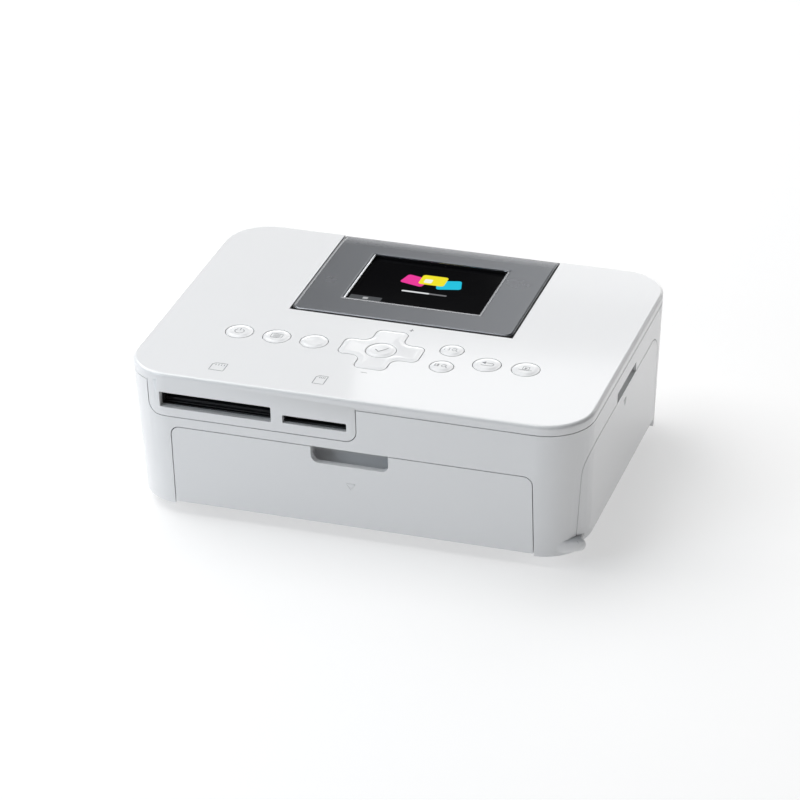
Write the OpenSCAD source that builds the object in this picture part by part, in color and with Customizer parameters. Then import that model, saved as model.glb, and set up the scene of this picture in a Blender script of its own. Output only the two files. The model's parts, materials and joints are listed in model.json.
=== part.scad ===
// Compact dye-sublimation photo printer.
// Millimetres. +X is the right side, -Y the front, +Z up.
// The origin lies on the table under the centre of the body.

/* [Body] */
// Width over the side walls at the top face
body_w = 178; // [174:1:190]
// Depth from the front wall to the back wall at the top face
body_d = 131; // [130:1:138]
// Height of the top face above the table
body_h = 60.5; // [60:0.5:64]
// Radius of the four upright corners
corner_r = 18; // [16:0.5:20]
// Inward lean of the front wall from the top face down to the table
draft_front = 3.1; // [2.6:0.1:3.6]
// Inward lean of each side wall
draft_side = 2.3; // [1.8:0.1:2.8]
// Inward lean of the back wall
draft_back = 2.9; // [2.4:0.1:3.4]
// Thickness of the moulded walls
wall = 2.2; // [1.8:0.1:2.4]
// Seam between fixed covers
seam = 0.3; // [0.2:0.05:0.4]
// Gap around doors and the display panel
door_gap = 0.35; // [0.3:0.05:0.45]
// Height of the lower case's bottom edge above the table
case_lift = 4.6; // [4.2:0.1:5]
// Height of the top cover's rim
rim_h = 4.1; // [3.6:0.1:4.6]
// Rounding where the top face meets the rim
top_edge_r = 1.5; // [1:0.1:2]

/* [Front door] */
// Distance from each side of the body to the edge of the paper door
door_side = 19.4; // [19:0.1:22]
// Bottom edge of the door above the table
door_z0 = 5.6; // [5.2:0.1:6]
// Distance from the top face down to the door's top edge
door_drop = 22.3; // [21.9:0.1:24.9]
// Thickness of both doors
door_t = 2.4; // [2:0.1:2.6]
// Radius of the door's top corners
door_r = 3.2; // [2:0.2:5]
// Width of the finger notch at the door's top edge
notch_w = 30; // [24:1:34]
// Depth of the finger notch
notch_h = 6.6; // [5:0.2:7]
// Height of the hinge axis above the door's bottom edge
door_hinge_up = 2.6; // [2.4:0.1:2.8]

/* [Ink door] */
// Distance from the front of the body to the ink door
ink_door_front = 10.5; // [9.5:0.5:12.5]
// Distance from the back of the body to the ink door
ink_door_back = 20.5; // [19.5:0.5:22.5]
// Bottom edge of the ink door above the table
ink_door_z0 = 8.1; // [7.8:0.1:8.6]
// Distance from the top face down to the ink door's top edge
ink_door_drop = 14.2; // [14:0.2:15.4]
// Radius of the ink door's top corners
ink_door_r = 9.5; // [6:0.5:12]
// Length of the finger scoop above the ink door
scoop_len = 27; // [22:1:32]
// Radius of the lug that carries the ink door's hinge pin
lug_r = 3.1; // [3:0.05:3.2]

/* [Card slots] */
// Width of the wide card slot
cf_w = 43.7; // [43:0.1:44.2]
// Height of the wide card slot
cf_h = 6.3; // [5.6:0.1:6.5]
// Width of the narrow card slot
sd_w = 24.7; // [24.4:0.1:25.2]
// Height of the narrow card slot
sd_h = 3.3; // [2.8:0.1:3.6]
// Depth of the slot mouths in the cover
mouth_d = 4.7; // [4:0.1:5.2]

/* [Display] */
// Width of the tilting display panel
panel_w = 87; // [84:0.5:89]
// Length of the display panel from its front edge to the back of the body
panel_len = 66.8; // [65.5:0.1:67.5]
// Thickness of the display panel
panel_t = 6; // [5.8:0.1:6.2]
// Width of the visible screen
screen_w = 54; // [48:1:58]
// Depth of the visible screen
screen_d = 39; // [34:1:41]
// Depth that the screen lies below the panel's face
screen_drop = 1; // [0.8:0.1:1.2]

/* [Buttons] */
// Diameter of the round keys' holes
key_d = 11; // [10:0.1:11.4]
// Diameter of the central key's hole
ok_d = 11.8; // [11:0.1:12.4]
// Diameter of the two zoom keys' holes
zoom_d = 9.4; // [8.6:0.1:9.8]
// Half the span of the four-way pad
pad_reach = 15.8; // [15:0.1:16.4]
// Half the width of the pad's arms
pad_arm = 6.4; // [6:0.1:7]
// Gap round each key
key_gap = 0.3; // [0.25:0.05:0.4]
// Height of the keys above the top face
key_proud = 0.45; // [0.3:0.05:0.6]
// Travel of the keys
key_travel = 0.45; // [0.4:0.05:0.5]

/* [Paper path] */
// Height of the paper's underside above the table
paper_z = 20.7; // [20.6:0.05:20.8]
// Radius of the platen roller
platen_r = 5.5; // [5.3:0.1:5.7]
// Radius of the capstan roller
capstan_r = 4; // [3.8:0.1:4.1]
// Radius of the pinch rollers
pinch_r = 3.2; // [3:0.1:3.3]
// Radius of the pickup roller's tyres
tyre_r = 7; // [6.8:0.1:7.1]
// Gap left between roller pairs for the paper
paper_gap = 0.25; // [0.2:0.05:0.3]

/* [Ink cassette] */
// Largest outer radius of the two ribbon tubes
tube_max_r = 11.2; // [10.8:0.1:11.2]
// Wall of the ribbon tubes
tube_wall = 1.1; // [0.9:0.1:1.3]
// Distance between the two spools
spool_pitch = 49; // [48.6:0.1:49.4]
// Clearance between the supply tube and the film wound on its spool
supply_gap = 1.5; // [1:0.1:3]
// Clearance between the take-up tube and the film wound on its spool
takeup_gap = 4.1; // [2:0.1:5]

/* [Drive] */
// Width of the gears
gear_w = 3; // [2.6:0.1:3.2]
// Largest radius of the motor
motor_max_r = 6.5; // [6:0.1:6.5]
// Length of the motor
motor_len = 23; // [20:0.5:25]

/* [Base] */
// Thickness of the base plate's floor
floor_t = 2; // [1.8:0.1:2.2]
// Radius of the rubber feet
foot_r = 6; // [5:0.2:7]
// Distance between the feet across the width
foot_span_x = 128; // [120:1:130]
// Distance between the feet across the depth
foot_span_y = 82; // [74:1:84]

/* [Hidden] */
$fn = 48;

white = [0.93, 0.93, 0.94];
steel = [0.72, 0.73, 0.75];
dark = [0.16, 0.16, 0.17];
green = [0.12, 0.36, 0.22];
nylon = [0.86, 0.85, 0.8];

far = 200;                // reach of a cut that runs out of the part
press = 0.001;            // sliver that keeps two faces from lying in one plane
run_gap = 0.05;           // radial clearance of a shaft in its bore
corner_steps = 10;        // straight stretches along each rounded corner

// Heights of the shells
part_z = body_h - rim_h;
cover_under = body_h - wall;
lip_h = 2.6;
lip_t = 1.3;

// Front door
door_w = body_w - 2 * door_side;
door_z1 = body_h - door_drop;
door_axis_z = door_z0 + door_hinge_up;
door_knuckle_r = 2.3;
pin_r = 1;
pin_len = 5;
jamb_t = 2.2;
jamb_d = 6.5;
rail_t = 1.6;             // rail that the closed door's top edge rests against
pocket_d = 6.2;           // depth of the finger pocket behind the notch
pocket_t = 1.5;

// Ink door
ink_door_y0 = -body_d / 2 + ink_door_front;
ink_door_y1 = body_d / 2 - ink_door_back;
ink_door_z1 = body_h - ink_door_drop;
ink_axis_z = ink_door_z0 + 1.5;
ink_knuckle_r = 1.65;
ink_knuckle_len = 8;
ink_pin_r = 0.8;
ink_rib_pitch = (ink_door_y1 - ink_door_y0 - 22) / 4;
ink_jamb_x = 4.2;         // clear space inside the ink door's hinge axis
lug_drop = 1.3;           // the lug's centre lies this far below its pin
scoop_r = 4.3;
scoop_t = 1.3;
scoop_y = (ink_door_y0 + ink_door_y1) / 2 + 2.5;

// Card slots and the apron that drops round them
cf_x0 = -body_w / 2 + 15.4;
cf_z0 = body_h - 14.2;
sd_x0 = cf_x0 + cf_w + 4.5;
sd_z0 = body_h - 13.8;
apron_x0 = cf_x0 - 5;
apron_x1 = sd_x0 + sd_w + 3.8;
apron_z0 = body_h - 18;
apron_r = 4.6;
mouth_wall = 1.4;
reader_t = 1.3;           // wall of the card readers

// Display panel and its tub
panel_y0 = body_d / 2 - panel_len;
panel_z1 = body_h - 0.2;
panel_z0 = panel_z1 - panel_t;
hinge_y = panel_y0 + 7;
hinge_z = panel_z1 - 2.5;
panel_side_gap = 0.7;
panel_front_gap = 0.9;
tub_floor = panel_z0 - 1.5;
tub_t = 1.8;
screen_y0 = panel_y0 + 13.4;
screen_rim = 2.8;         // the glass reaches this far under the panel's face
panel_cavity_y0 = hinge_y + hinge_z - panel_z0;
panel_cavity_y1 = back_y(panel_z1) - 6.6;
panel_wall = 1.8;
skirt_z = part_z + 0.6;

// Keys
key_row_y = panel_y0 - 23.9;
key_top = body_h + key_proud;
flange_z1 = cover_under - 0.3;
flange_t = 0.9;
flange_w = 0.9;
board_z1 = body_h - 5.4;
board_t = 0.8;
dome_h = 0.8;
dome_r = 1.8;
stem_z = board_z1 + dome_h + key_travel + 0.05;
key_pitch = 14.8;
power_at = [-11.5 - 3 * key_pitch, key_row_y];
menu_at = [-11.5 - 2 * key_pitch, key_row_y];
edit_at = [-11.5 - key_pitch, key_row_y];
pad_at = [0, key_row_y + 0.4];
ok_at = [0, key_row_y];
zoom_in_at = [25.4, key_row_y + 7.3];
zoom_out_at = [25.4, key_row_y - 6];
back_at = [11.5 + 2 * key_pitch, key_row_y];
print_at = [11.5 + 3 * key_pitch, key_row_y + 0.4];
round_keys = [[power_at, key_d], [menu_at, key_d], [edit_at, key_d], [back_at, key_d],
    [print_at, key_d], [zoom_in_at, zoom_d], [zoom_out_at, zoom_d]];

// Base
floor_z1 = case_lift + 1.6 + floor_t;
floor_z0 = floor_z1 - floor_t;
plinth_z = case_lift - 2.2;
boss_r = 3;
boss_at = [body_w / 2 - 10.8, body_d / 2 - 11.7];
boss_h = 22;
screw_r = 1.15;
screw_head_r = 2;
bay_half = 58.5;          // half width between the guides of the paper bay

// Chassis
plate_x = 61.8;
plate_t = 1.2;
plate_low_top = cf_z0 - 2.5;
bush_in = 0.9;
bush_r = 3.4;

// Rollers, as [y, z] of their axes
platen_at = [11.2, paper_z - platen_r];
capstan_at = [-32.8, paper_z - capstan_r];
pinch_at = [capstan_at[0], paper_z + paper_gap + pinch_r];
journal_r = 2;
pinch_shaft_r = 1.2;
pickup_shaft_r = 1.5;
roller_half = 54;
tyre_x = 24;

// Spools, as [y, z] of their axes
ribbon_z = paper_z + 0.4;
tube_z0 = ribbon_z + 0.3;
tube_room = 7.2;          // clear height between the tubes and the cover over them
tube_r = min(tube_max_r, (tub_floor - tub_t - tube_room - tube_z0) / 2);
spool_z = tube_z0 + tube_r;
supply_r = tube_r - tube_wall - supply_gap;
takeup_r = tube_r - tube_wall - takeup_gap;
take_up_at = [-16.3, spool_z];
supply_at = [take_up_at[0] + spool_pitch, spool_z];
shell_half = 57;
shell_end_t = 1.5;
socket_r = 4;

// Gears: teeth, then axes found from the meshes
gear_m = 0.6;
pinion_teeth = 12;
big_teeth = 32;
small_teeth = 14;
capstan_teeth = 26;
pickup_teeth = 20;
take_up_teeth = 33;
backlash = 0.1;
gear_x = plate_x + plate_t + 0.6;
outer_gear_x = gear_x + gear_w + 0.6;
compound_at = mesh_point(capstan_at, mesh_dist(capstan_teeth, small_teeth),
    take_up_at, mesh_dist(take_up_teeth, small_teeth), 1);
pickup_z = paper_z - 0.2 + tyre_r;
pickup_at = [capstan_at[0] - sqrt(pow(mesh_dist(capstan_teeth, pickup_teeth), 2)
    - pow(pickup_z - capstan_at[1], 2)), pickup_z];
// the motor lies between the pickup shaft and the wide card reader, with flats above and below
motor_flat = 1;
motor_room = cf_z0 - reader_t - pickup_at[1] - pickup_shaft_r;
motor_r = min(motor_max_r, motor_flat + (motor_room - 5) / 2);
pinion_reach = mesh_dist(big_teeth, pinion_teeth);
pinion_rise = min(pinion_reach * sin(40), cf_z0 - reader_t - 0.6 - compound_at[1]
    - max(motor_r - motor_flat, gear_m * (pinion_teeth / 2 + 1)));
pinion_at = compound_at + [-sqrt(pow(pinion_reach, 2) - pow(pinion_rise, 2)), pinion_rise];
capstan_phase = mesh_phase(capstan_at - compound_at, 0, small_teeth, capstan_teeth);
take_up_phase = mesh_phase(take_up_at - compound_at, 0, small_teeth, take_up_teeth);
pickup_phase = mesh_phase(pickup_at - capstan_at, capstan_phase, capstan_teeth, pickup_teeth);
pinion_phase = mesh_phase(pinion_at - compound_at, 0, big_teeth, pinion_teeth);

// Shaft ends and the hub of the take-up gear
hub_r = 2.4;
shaft_x = plate_x + plate_t + 0.6;
bush_list = [[capstan_at, journal_r], [platen_at, journal_r]];

// Print head
head_pivot = [47.2, spool_z + tube_r + 1.7];
plate_top = head_pivot[1] + 2.9;
rear_bar_top = head_pivot[1] - 5.3;
head_lift = 6.8;
head_shaft_r = 2;
head_w = 104;
arm_x = 46;
arm_t = 2;
head_z0 = ribbon_z + 0.45;
sink_z0 = head_z0 + 2.6;
sink_z1 = spool_z + tube_r - 0.4;
sink_half = 7;

// Eject lever
eject_y = take_up_at[0] - tube_r - 5.2;
eject_z0 = capstan_at[1] + bush_r + 4.9;
eject_stud_r = 1.2;
eject_travel = 4;
stud_z = [eject_z0 + 8.5, eject_z0 + 14.5];

// Sockets, vents and grip in the back wall
slot_half = 53;
usb_w = 11.4;
usb_x = -(plate_x + plate_t + 0.4 + usb_w / 2);
usb_h = 12;
usb_d = 16;
jack_h = 11;
jack_w = 10;
jack_x = plate_x + plate_t + 1 + jack_w / 2;
jack_hole_r = 3.4;
vent_n = 8;
vent_pitch = 5;
grip_r = 14;

// Posts of the top cover: x, y and the height they reach down to
cf_depth = 36;
sd_depth = 29;
chip_h = 2.4;             // tallest chip of the main board
main_board_t = 1.6;
main_board_z1 = board_z1 - board_t - chip_h - 0.2;
main_board_x0 = sd_x0 + sd_w + 4.7;
main_board_x1 = body_w / 2 - 13;
main_board_y0 = -body_d / 2 + 6.5;
main_board_y1 = panel_y0 - 6.7;
key_board_x = print_at[0] + 6.1;
key_board_y0 = key_row_y - 13.5;
key_board_y1 = panel_y0 - 6.5;
post_y = -body_d / 2 + 8.5;
posts = concat(
    [for (x = [cf_x0 + 3, cf_x0 + cf_w - 3]) [x, post_y, cf_z0 + cf_h + reader_t]],
    [for (x = [sd_x0 + 3, sd_x0 + sd_w - 3]) [x, post_y, sd_z0 + sd_h + reader_t]],
    [for (p = [[main_board_x0 + 5, main_board_y0 + 4], [main_board_x1 - 2.2, main_board_y0 + 4],
        [main_board_x1 - 2.2, main_board_y1 - 6]]) [p[0], p[1], main_board_z1]],
    [for (x = [-1, 1]) for (y = [key_board_y0 + 2.6, key_board_y1 - 3.2])
        [x * (key_board_x - 2), y, board_z1]]);

// ---------------------------------------------------------------- functions

// Half width and the front and back wall positions at a height
function side_x(z) = body_w / 2 - draft_side * (1 - z / body_h);
function front_y(z) = -body_d / 2 + draft_front * (1 - z / body_h);
function back_y(z) = body_d / 2 - draft_back * (1 - z / body_h);

// Back end of a socket that reaches out to x, clear of the rounded corner's inner face
function socket_y(x) = let (
    r = corner_r - wall,
    out = max(0, x - side_x(floor_z1) + corner_r))
    back_y(floor_z1) - wall - 0.15 - r + sqrt(r * r - out * out);

// Hinge axes of the two doors
function ink_axis_x() = side_x(ink_axis_z) - door_t - 0.15;
function front_door_axis_y() = front_y(door_axis_z) + door_t + 0.2;

// Outline of the leaning body at a height, moved inwards by inset
function ring(z, inset = 0) = let (
    r = corner_r - inset,
    x = side_x(z) - corner_r,
    f = front_y(z) + corner_r,
    b = back_y(z) - corner_r)
    [for (c = [[x, b, 0], [-x, b, 90], [-x, f, 180], [x, f, 270]])
        for (i = [0 : corner_steps])
            let (a = c[2] + 90 * i / corner_steps)
                [c[0] + r * cos(a), c[1] + r * sin(a), z]];

// Points of a rectangle with its own radius at each corner: right top, left top,
// left bottom, right bottom
function rect_points(x0, y0, x1, y1, r) =
    [for (c = [[x1, y1, -1, -1, 0], [x0, y1, 1, -1, 1], [x0, y0, 1, 1, 2], [x1, y0, -1, 1, 3]])
        let (q = c[4], cr = r[q], n = cr > 0 ? 6 : 0)
            for (i = [0 : n])
                let (a = 90 * q + (n > 0 ? 90 * i / n : 45))
                    [c[0] + c[2] * cr + cr * cos(a), c[1] + c[3] * cr + cr * sin(a)]];

// Distance between the axes of two meshing gears
function mesh_dist(a, b) = gear_m * (a + b) / 2;

// Centre of a gear that meshes with gears at a and b
function mesh_point(a, ra, b, rb, side) = let (
    d = norm(b - a),
    t = (ra * ra - rb * rb + d * d) / (2 * d),
    h = sqrt(ra * ra - t * t),
    u = (b - a) / d)
    a + t * u + side * h * [-u[1], u[0]];

// Angle of a tooth on the driven gear, so that its gap meets the driver's tooth
function mesh_phase(dir, driver_phase, driver_teeth, teeth) = let (
    a = atan2(dir[1], dir[0]),
    u = (a - driver_phase) * driver_teeth / 360)
    a + 180 - (0.5 - u) * 360 / teeth;

// Involute gear outline
function involute(rb, r) = let (c = min(1, rb / r)) tan(acos(c)) * 180 / PI - acos(c);
function gear_points(teeth) = let (
    r = gear_m * teeth / 2,
    rb = r * cos(20),
    tip = r + 0.9 * gear_m,
    root = r - 1.2 * gear_m,
    low = max(rb, root + 0.1),
    half = 90 / teeth - backlash / 2 / r * 180 / PI + involute(rb, r),
    flank = [for (i = [0 : 4]) let (q = low + (tip - low) * i / 4) [q, half - involute(rb, q)]],
    foot = [[root, flank[0][1] + 0.6 * (180 / teeth - flank[0][1]) * 0.5]])
    [for (k = [0 : teeth - 1])
        let (a = 360 * k / teeth)
            for (p = concat(
                [for (q = foot) [q[0], -q[1]]],
                [for (q = flank) [q[0], -q[1]]],
                [for (i = [4 : -1 : 0]) flank[i]],
                foot))
                p[0] * [cos(a + p[1]), sin(a + p[1])]];

// ------------------------------------------------------------ shared shapes

// Solid through a stack of outlines with equal point counts
module loft(rings) {
    n = len(rings[0]);
    top = (len(rings) - 1) * n;
    polyhedron(
        points = [for (r = rings) each r],
        faces = concat(
            [[for (i = [0 : n - 1]) i]],
            [[for (i = [n - 1 : -1 : 0]) top + i]],
            [for (j = [0 : len(rings) - 2]) for (i = [0 : n - 1])
                let (a = j * n + i, b = j * n + (i + 1) % n) each [[a, a + n, b + n], [a, b + n, b]]]));
}

// Extrude a [x, z] outline from y0 to y1
module along_y(y0, y1) {
    translate([0, y1, 0]) rotate([90, 0, 0]) linear_extrude(y1 - y0) children();
}

// Extrude a [y, z] outline from x0 to x1
module along_x(x0, x1) {
    translate([x0, 0, 0]) rotate([90, 0, 90]) linear_extrude(x1 - x0) children();
}

// Round bar along X
module bar_x(at, r, x0, x1) {
    along_x(x0, x1) translate(at) circle(r);
}

// Round bar along Y, at [x, z]
module bar_y(at, r, y0, y1) {
    along_y(y0, y1) translate(at) circle(r);
}

// Box between two corners
module box(a, b) {
    translate(a) cube(b - a);
}

module body_solid(z0, z1, inset = 0) {
    loft([ring(z0, inset), ring(z1, inset)]);
}

// Wall of the body between two heights
module body_wall(z0, z1, outer = 0, t = wall) {
    difference() {
        body_solid(z0, z1, outer);
        body_solid(z0 - 1, z1 + 1, outer + t);
    }
}

// Prism of the front door's outline
module front_door_prism(grow, y0, y1) {
    along_y(y0, y1)
        polygon(rect_points(-door_w / 2 - grow, door_z0 - grow, door_w / 2 + grow, door_z1 + grow,
            [door_r + grow, door_r + grow, 0, 0]));
}

// Prism of the ink door's outline
module ink_door_prism(grow, x0, x1, z0 = ink_door_z0) {
    along_x(x0, x1)
        polygon(rect_points(ink_door_y0 - grow, z0, ink_door_y1 + grow, ink_door_z1 + grow,
            [ink_door_r + grow, ink_door_r + grow, 0, 0]));
}

module apron_prism(grow, z1) {
    along_y(-far, front_y(body_h) + corner_r)
        polygon(rect_points(apron_x0 - grow, apron_z0 - grow, apron_x1 + grow, z1,
            [0, 0, apron_r + grow, apron_r + grow]));
}

module pad_outline(grow) {
    round = 2.9;
    fillet = 3.4;
    translate(pad_at)
        offset(r = round + grow) offset(delta = -round)
            offset(r = -fillet) offset(delta = fillet) {
                square([2 * pad_reach, 2 * pad_arm], center = true);
                square([2 * pad_arm, 2 * pad_reach], center = true);
            }
}

module gear(teeth, bore, phase, w = gear_w) {
    rotate([90, 0, 90]) linear_extrude(w) difference() {
        rotate(phase) polygon(gear_points(teeth));
        circle(bore);
    }
}

// ------------------------------------------------------------------ housing

// Corner positions of the case bosses
module at_bosses() {
    for (sx = [-1, 1]) for (sy = [-1, 1]) translate([sx * boss_at[0], sy * boss_at[1], 0])
        rotate(atan2(sy, sx)) children();
}

module at_feet() {
    for (sx = [-1, 1]) for (sy = [-1, 1]) translate([sx * foot_span_x / 2, sy * foot_span_y / 2, 0])
        children();
}

// Fingertip pocket over the ink door
module scoop(grow, z0) {
    intersection() {
        bar_y([side_x(ink_door_z1) - 0.4, ink_door_z1], scoop_r + grow,
            scoop_y - scoop_len / 2 - grow, scoop_y + scoop_len / 2 + grow);
        box([side_x(0) - 6, -far, z0], [far, far, part_z - 2 * seam]);
    }
}

// Wall behind the fingertip pocket, clear of the closed ink door
module scoop_backing() {
    difference() {
        scoop(scoop_t, ink_door_z1 - 1.5);
        box([side_x(ink_door_z1) - door_t - 0.6, -far, 0], [far, far, ink_door_z1 + door_gap]);
    }
}

// Stop rail above the front door, as [y, z]
module door_rail_outline() {
    y0 = front_y(door_z1);
    y1 = front_y(door_z1 - 3) + door_t + seam;
    polygon([[y0 + 0.4, door_z1 + door_gap], [y1, door_z1 + door_gap], [y1, door_z1 - 2],
        [y1 + rail_t, door_z1 - 2], [y1 + rail_t, door_z1 + 3], [y0 + 0.4, door_z1 + 3]]);
}

// Block behind the front door's notch, and the hollow scooped out of it, as [y, z]
module notch_block_outline() {
    z0 = door_z1 - notch_h - 5 - pocket_t;
    y0 = front_y(z0) + door_t + seam;
    y1 = front_y(door_z1) + door_t + pocket_d + pocket_t;
    polygon([[y0, z0], [y1, z0], [y1, door_z1 + 3], [y0, door_z1 + 3]]);
}

module notch_hollow_outline() {
    y0 = front_y(door_z1) + door_t;
    z0 = door_z1 - notch_h - 5;
    polygon(concat([[y0 - 6, z0], [y0 + pocket_d, z0]],
        [for (a = [0 : 15 : 90]) [y0 + pocket_d * cos(a) - 2 * (1 - cos(a)), z0 + 5.5 + 6 * sin(a)]],
        [[y0 - 6, z0 + 11.5]]));
}

// Jambs beside both doors and the screw bosses
module case_ribs() {
    jamb_x = door_w / 2 + door_gap;
    for (s = [-1, 1])
        box([s > 0 ? jamb_x : -jamb_x - jamb_t, front_y(0) - 4, case_lift],
            [s > 0 ? jamb_x + jamb_t : -jamb_x, front_y(0) + jamb_d, door_z1 + 3]);
    for (y = [ink_door_y0 - door_gap - jamb_t, ink_door_y1 + door_gap])
        box([side_x(0) - 5.6, y, case_lift], [far, y + jamb_t, ink_door_z1 + 3]);
    at_bosses() {
        translate([0, 0, floor_z1]) cylinder(r = boss_r, h = boss_h);
        box([0, -1, floor_z1], [9, 1, floor_z1 + boss_h]);
    }
}

// Lug that carries the ink door's front pin and sinks into the rounded corner in front of it
module lug() {
    z = ink_axis_z - lug_drop;
    y0 = ink_door_y0 - door_gap;
    len = y0 - front_y(z) - 1.8;
    centre = [side_x(z) - corner_r, front_y(z) + corner_r];
    function face_x(y) = centre[0] + sqrt(pow(corner_r, 2) - pow(y - centre[1], 2));
    proud = ink_axis_x() + lug_r - face_x(y0);
    loft([for (t = [0, 0.17, 0.4, 0.63, 0.83, 1])
        let (y = y0 - t * len, r = lug_r * (1 - 0.25 * t), x = face_x(y) + proud * cos(98 * t) - r)
            [for (a = [0 : 15 : 345]) [x + r * cos(a), y, z + r * sin(a)]]]);
}

module lower_case() {
    z1 = part_z - seam / 2;
    pin_x = door_w / 2 + door_gap + jamb_t + 1;
    color(white) difference() {
        union() {
            difference() {
                union() {
                    body_wall(case_lift, z1);
                    intersection() {
                        body_solid(case_lift, z1, 0.4);
                        case_ribs();
                    }
                }
                front_door_prism(door_gap, -far, front_y(0) + wall + 1);
                box([-door_w / 2 - door_gap, -far, 0],
                    [door_w / 2 + door_gap, front_y(0) + wall + 1, door_z0 + 1]);
                ink_door_prism(door_gap, ink_axis_x() - ink_jamb_x, far, 0);
            }
            intersection() {
                body_solid(case_lift, z1, 0.4);
                union() {
                    along_x(-door_w / 2 - door_gap - 1, door_w / 2 + door_gap + 1) door_rail_outline();
                    along_x(-notch_w / 2 - 2.4, notch_w / 2 + 2.4) notch_block_outline();
                    scoop_backing();
                }
            }
            lug();
        }
        along_x(-notch_w / 2 - 1, notch_w / 2 + 1) notch_hollow_outline();
        scoop(0, ink_door_z1 - 2);
        apron_prism(seam / 2, far);
        for (s = [-1, 1])
            bar_x([front_door_axis_y(), door_axis_z], pin_r, s > 0 ? 0 : -pin_x, s > 0 ? pin_x : 0);
        bar_y([ink_axis_x(), ink_axis_z], ink_pin_r, ink_door_y0 - door_gap - jamb_t + 0.4, ink_door_y0 + 1);
        bar_y([ink_axis_x(), ink_axis_z], ink_pin_r, ink_door_y1 - 1, ink_door_y1 + door_gap + jamb_t - 0.4);
        at_bosses() translate([0, 0, floor_z1 - 1]) cylinder(r = screw_r, h = boss_h - 4);
        back_cuts();
    }
}

module back_cuts() {
    y0 = back_y(0) - wall - 1;
    along_y(y0, far) polygon(rect_points(-slot_half, paper_z - 2.4, slot_half, paper_z + 3.6, [1, 1, 1, 1]));
    along_y(y0, far) polygon(rect_points(usb_x - usb_w / 2 + 1.2, floor_z1 + 1.6, usb_x + usb_w / 2 - 1.2,
        floor_z1 + usb_h - 1.2, [1, 1, 0.4, 0.4]));
    bar_y([jack_x, floor_z1 + jack_h / 2], jack_hole_r, y0, far);
    for (i = [-vent_n : vent_n]) along_y(y0, far) polygon(rect_points(
        i * vent_pitch - 1, paper_z + 11, i * vent_pitch + 1, paper_z + 25, [0.95, 0.95, 0.95, 0.95]));
    // shallow grip under the display panel's edge
    translate([0, back_y(part_z) + grip_r - 1.6, part_z - 5]) cylinder(r = grip_r, h = 6);
}

module top_cover() {
    edge = [for (a = [0 : 22.5 : 90])
        ring(body_h - top_edge_r * (1 - sin(a)), top_edge_r * (1 - cos(a)))];
    tub_x = panel_w / 2 + panel_side_gap;
    tub_y0 = panel_y0 - panel_front_gap;
    tub_y1 = back_y(tub_floor) - wall - seam - tub_t;
    color(white) difference() {
        union() {
            difference() {
                loft(concat([ring(part_z + seam / 2)], edge));
                body_solid(part_z - 1, cover_under, wall);
            }
            // locating lip inside the lower case
            body_wall(part_z - lip_h, cover_under + 0.5, wall + seam, lip_t);
            // apron round the card slots
            intersection() {
                body_wall(apron_z0 - 1, part_z + 1);
                apron_prism(-seam / 2, part_z + 2);
            }
            // walls of the slot mouths
            intersection() {
                body_solid(apron_z0, part_z, 0.5);
                union() {
                    mouth(cf_x0, cf_z0, cf_w, cf_h, mouth_wall);
                    mouth(sd_x0, sd_z0, sd_w, sd_h, mouth_wall);
                }
            }
            // tub below the display panel
            intersection() {
                body_solid(tub_floor - tub_t - 1, body_h - 1, wall + seam);
                box([-tub_x - tub_t, tub_y0 - tub_t, tub_floor - tub_t], [tub_x + tub_t, far, body_h - 1]);
            }
            for (p = posts) translate([p[0], p[1], p[2]]) cylinder(r = 1.8, h = cover_under + 0.5 - p[2]);
        }
        mouth(cf_x0, cf_z0, cf_w, cf_h, 0);
        mouth(sd_x0, sd_z0, sd_w, sd_h, 0);
        box([-tub_x, tub_y0, tub_floor], [tub_x, tub_y1, far]);
        box([-tub_x, tub_y0, part_z + seam / 2], [tub_x, far, far]);
        for (k = round_keys) translate([k[0][0], k[0][1], 0]) cylinder(r = k[1] / 2, h = far);
        linear_extrude(far) pad_outline(0);
        for (s = [-1, 1]) bar_x([hinge_y, hinge_z], pin_r, s > 0 ? tub_x - 1 : -tub_x - tub_t - 1,
            s > 0 ? tub_x + tub_t + 1 : -tub_x + 1);
    }
}

// Slot mouth in the apron, or the block round it
module mouth(x0, z0, w, h, grow) {
    y1 = front_y(z0) + mouth_d;
    along_y(grow > 0 ? front_y(z0) + wall - 0.4 : -far, y1 + (grow > 0 ? 0 : 1))
        polygon(rect_points(x0 - grow, z0 - grow, x0 + w + grow, z0 + h + grow, [0.4, 0.4, 0.4, 0.4]));
}

// Outline of the plinth under the floor, moved inwards by d
function plinth_ring(z, d) = let (
    x = foot_span_x / 2 + foot_r + 1.2 - d,
    y = foot_span_y / 2 + foot_r + 1.2 - d)
    [for (p = rect_points(-x, -y, x, y, [9, 9, 9, 9])) [p[0], p[1], z]];

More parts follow.
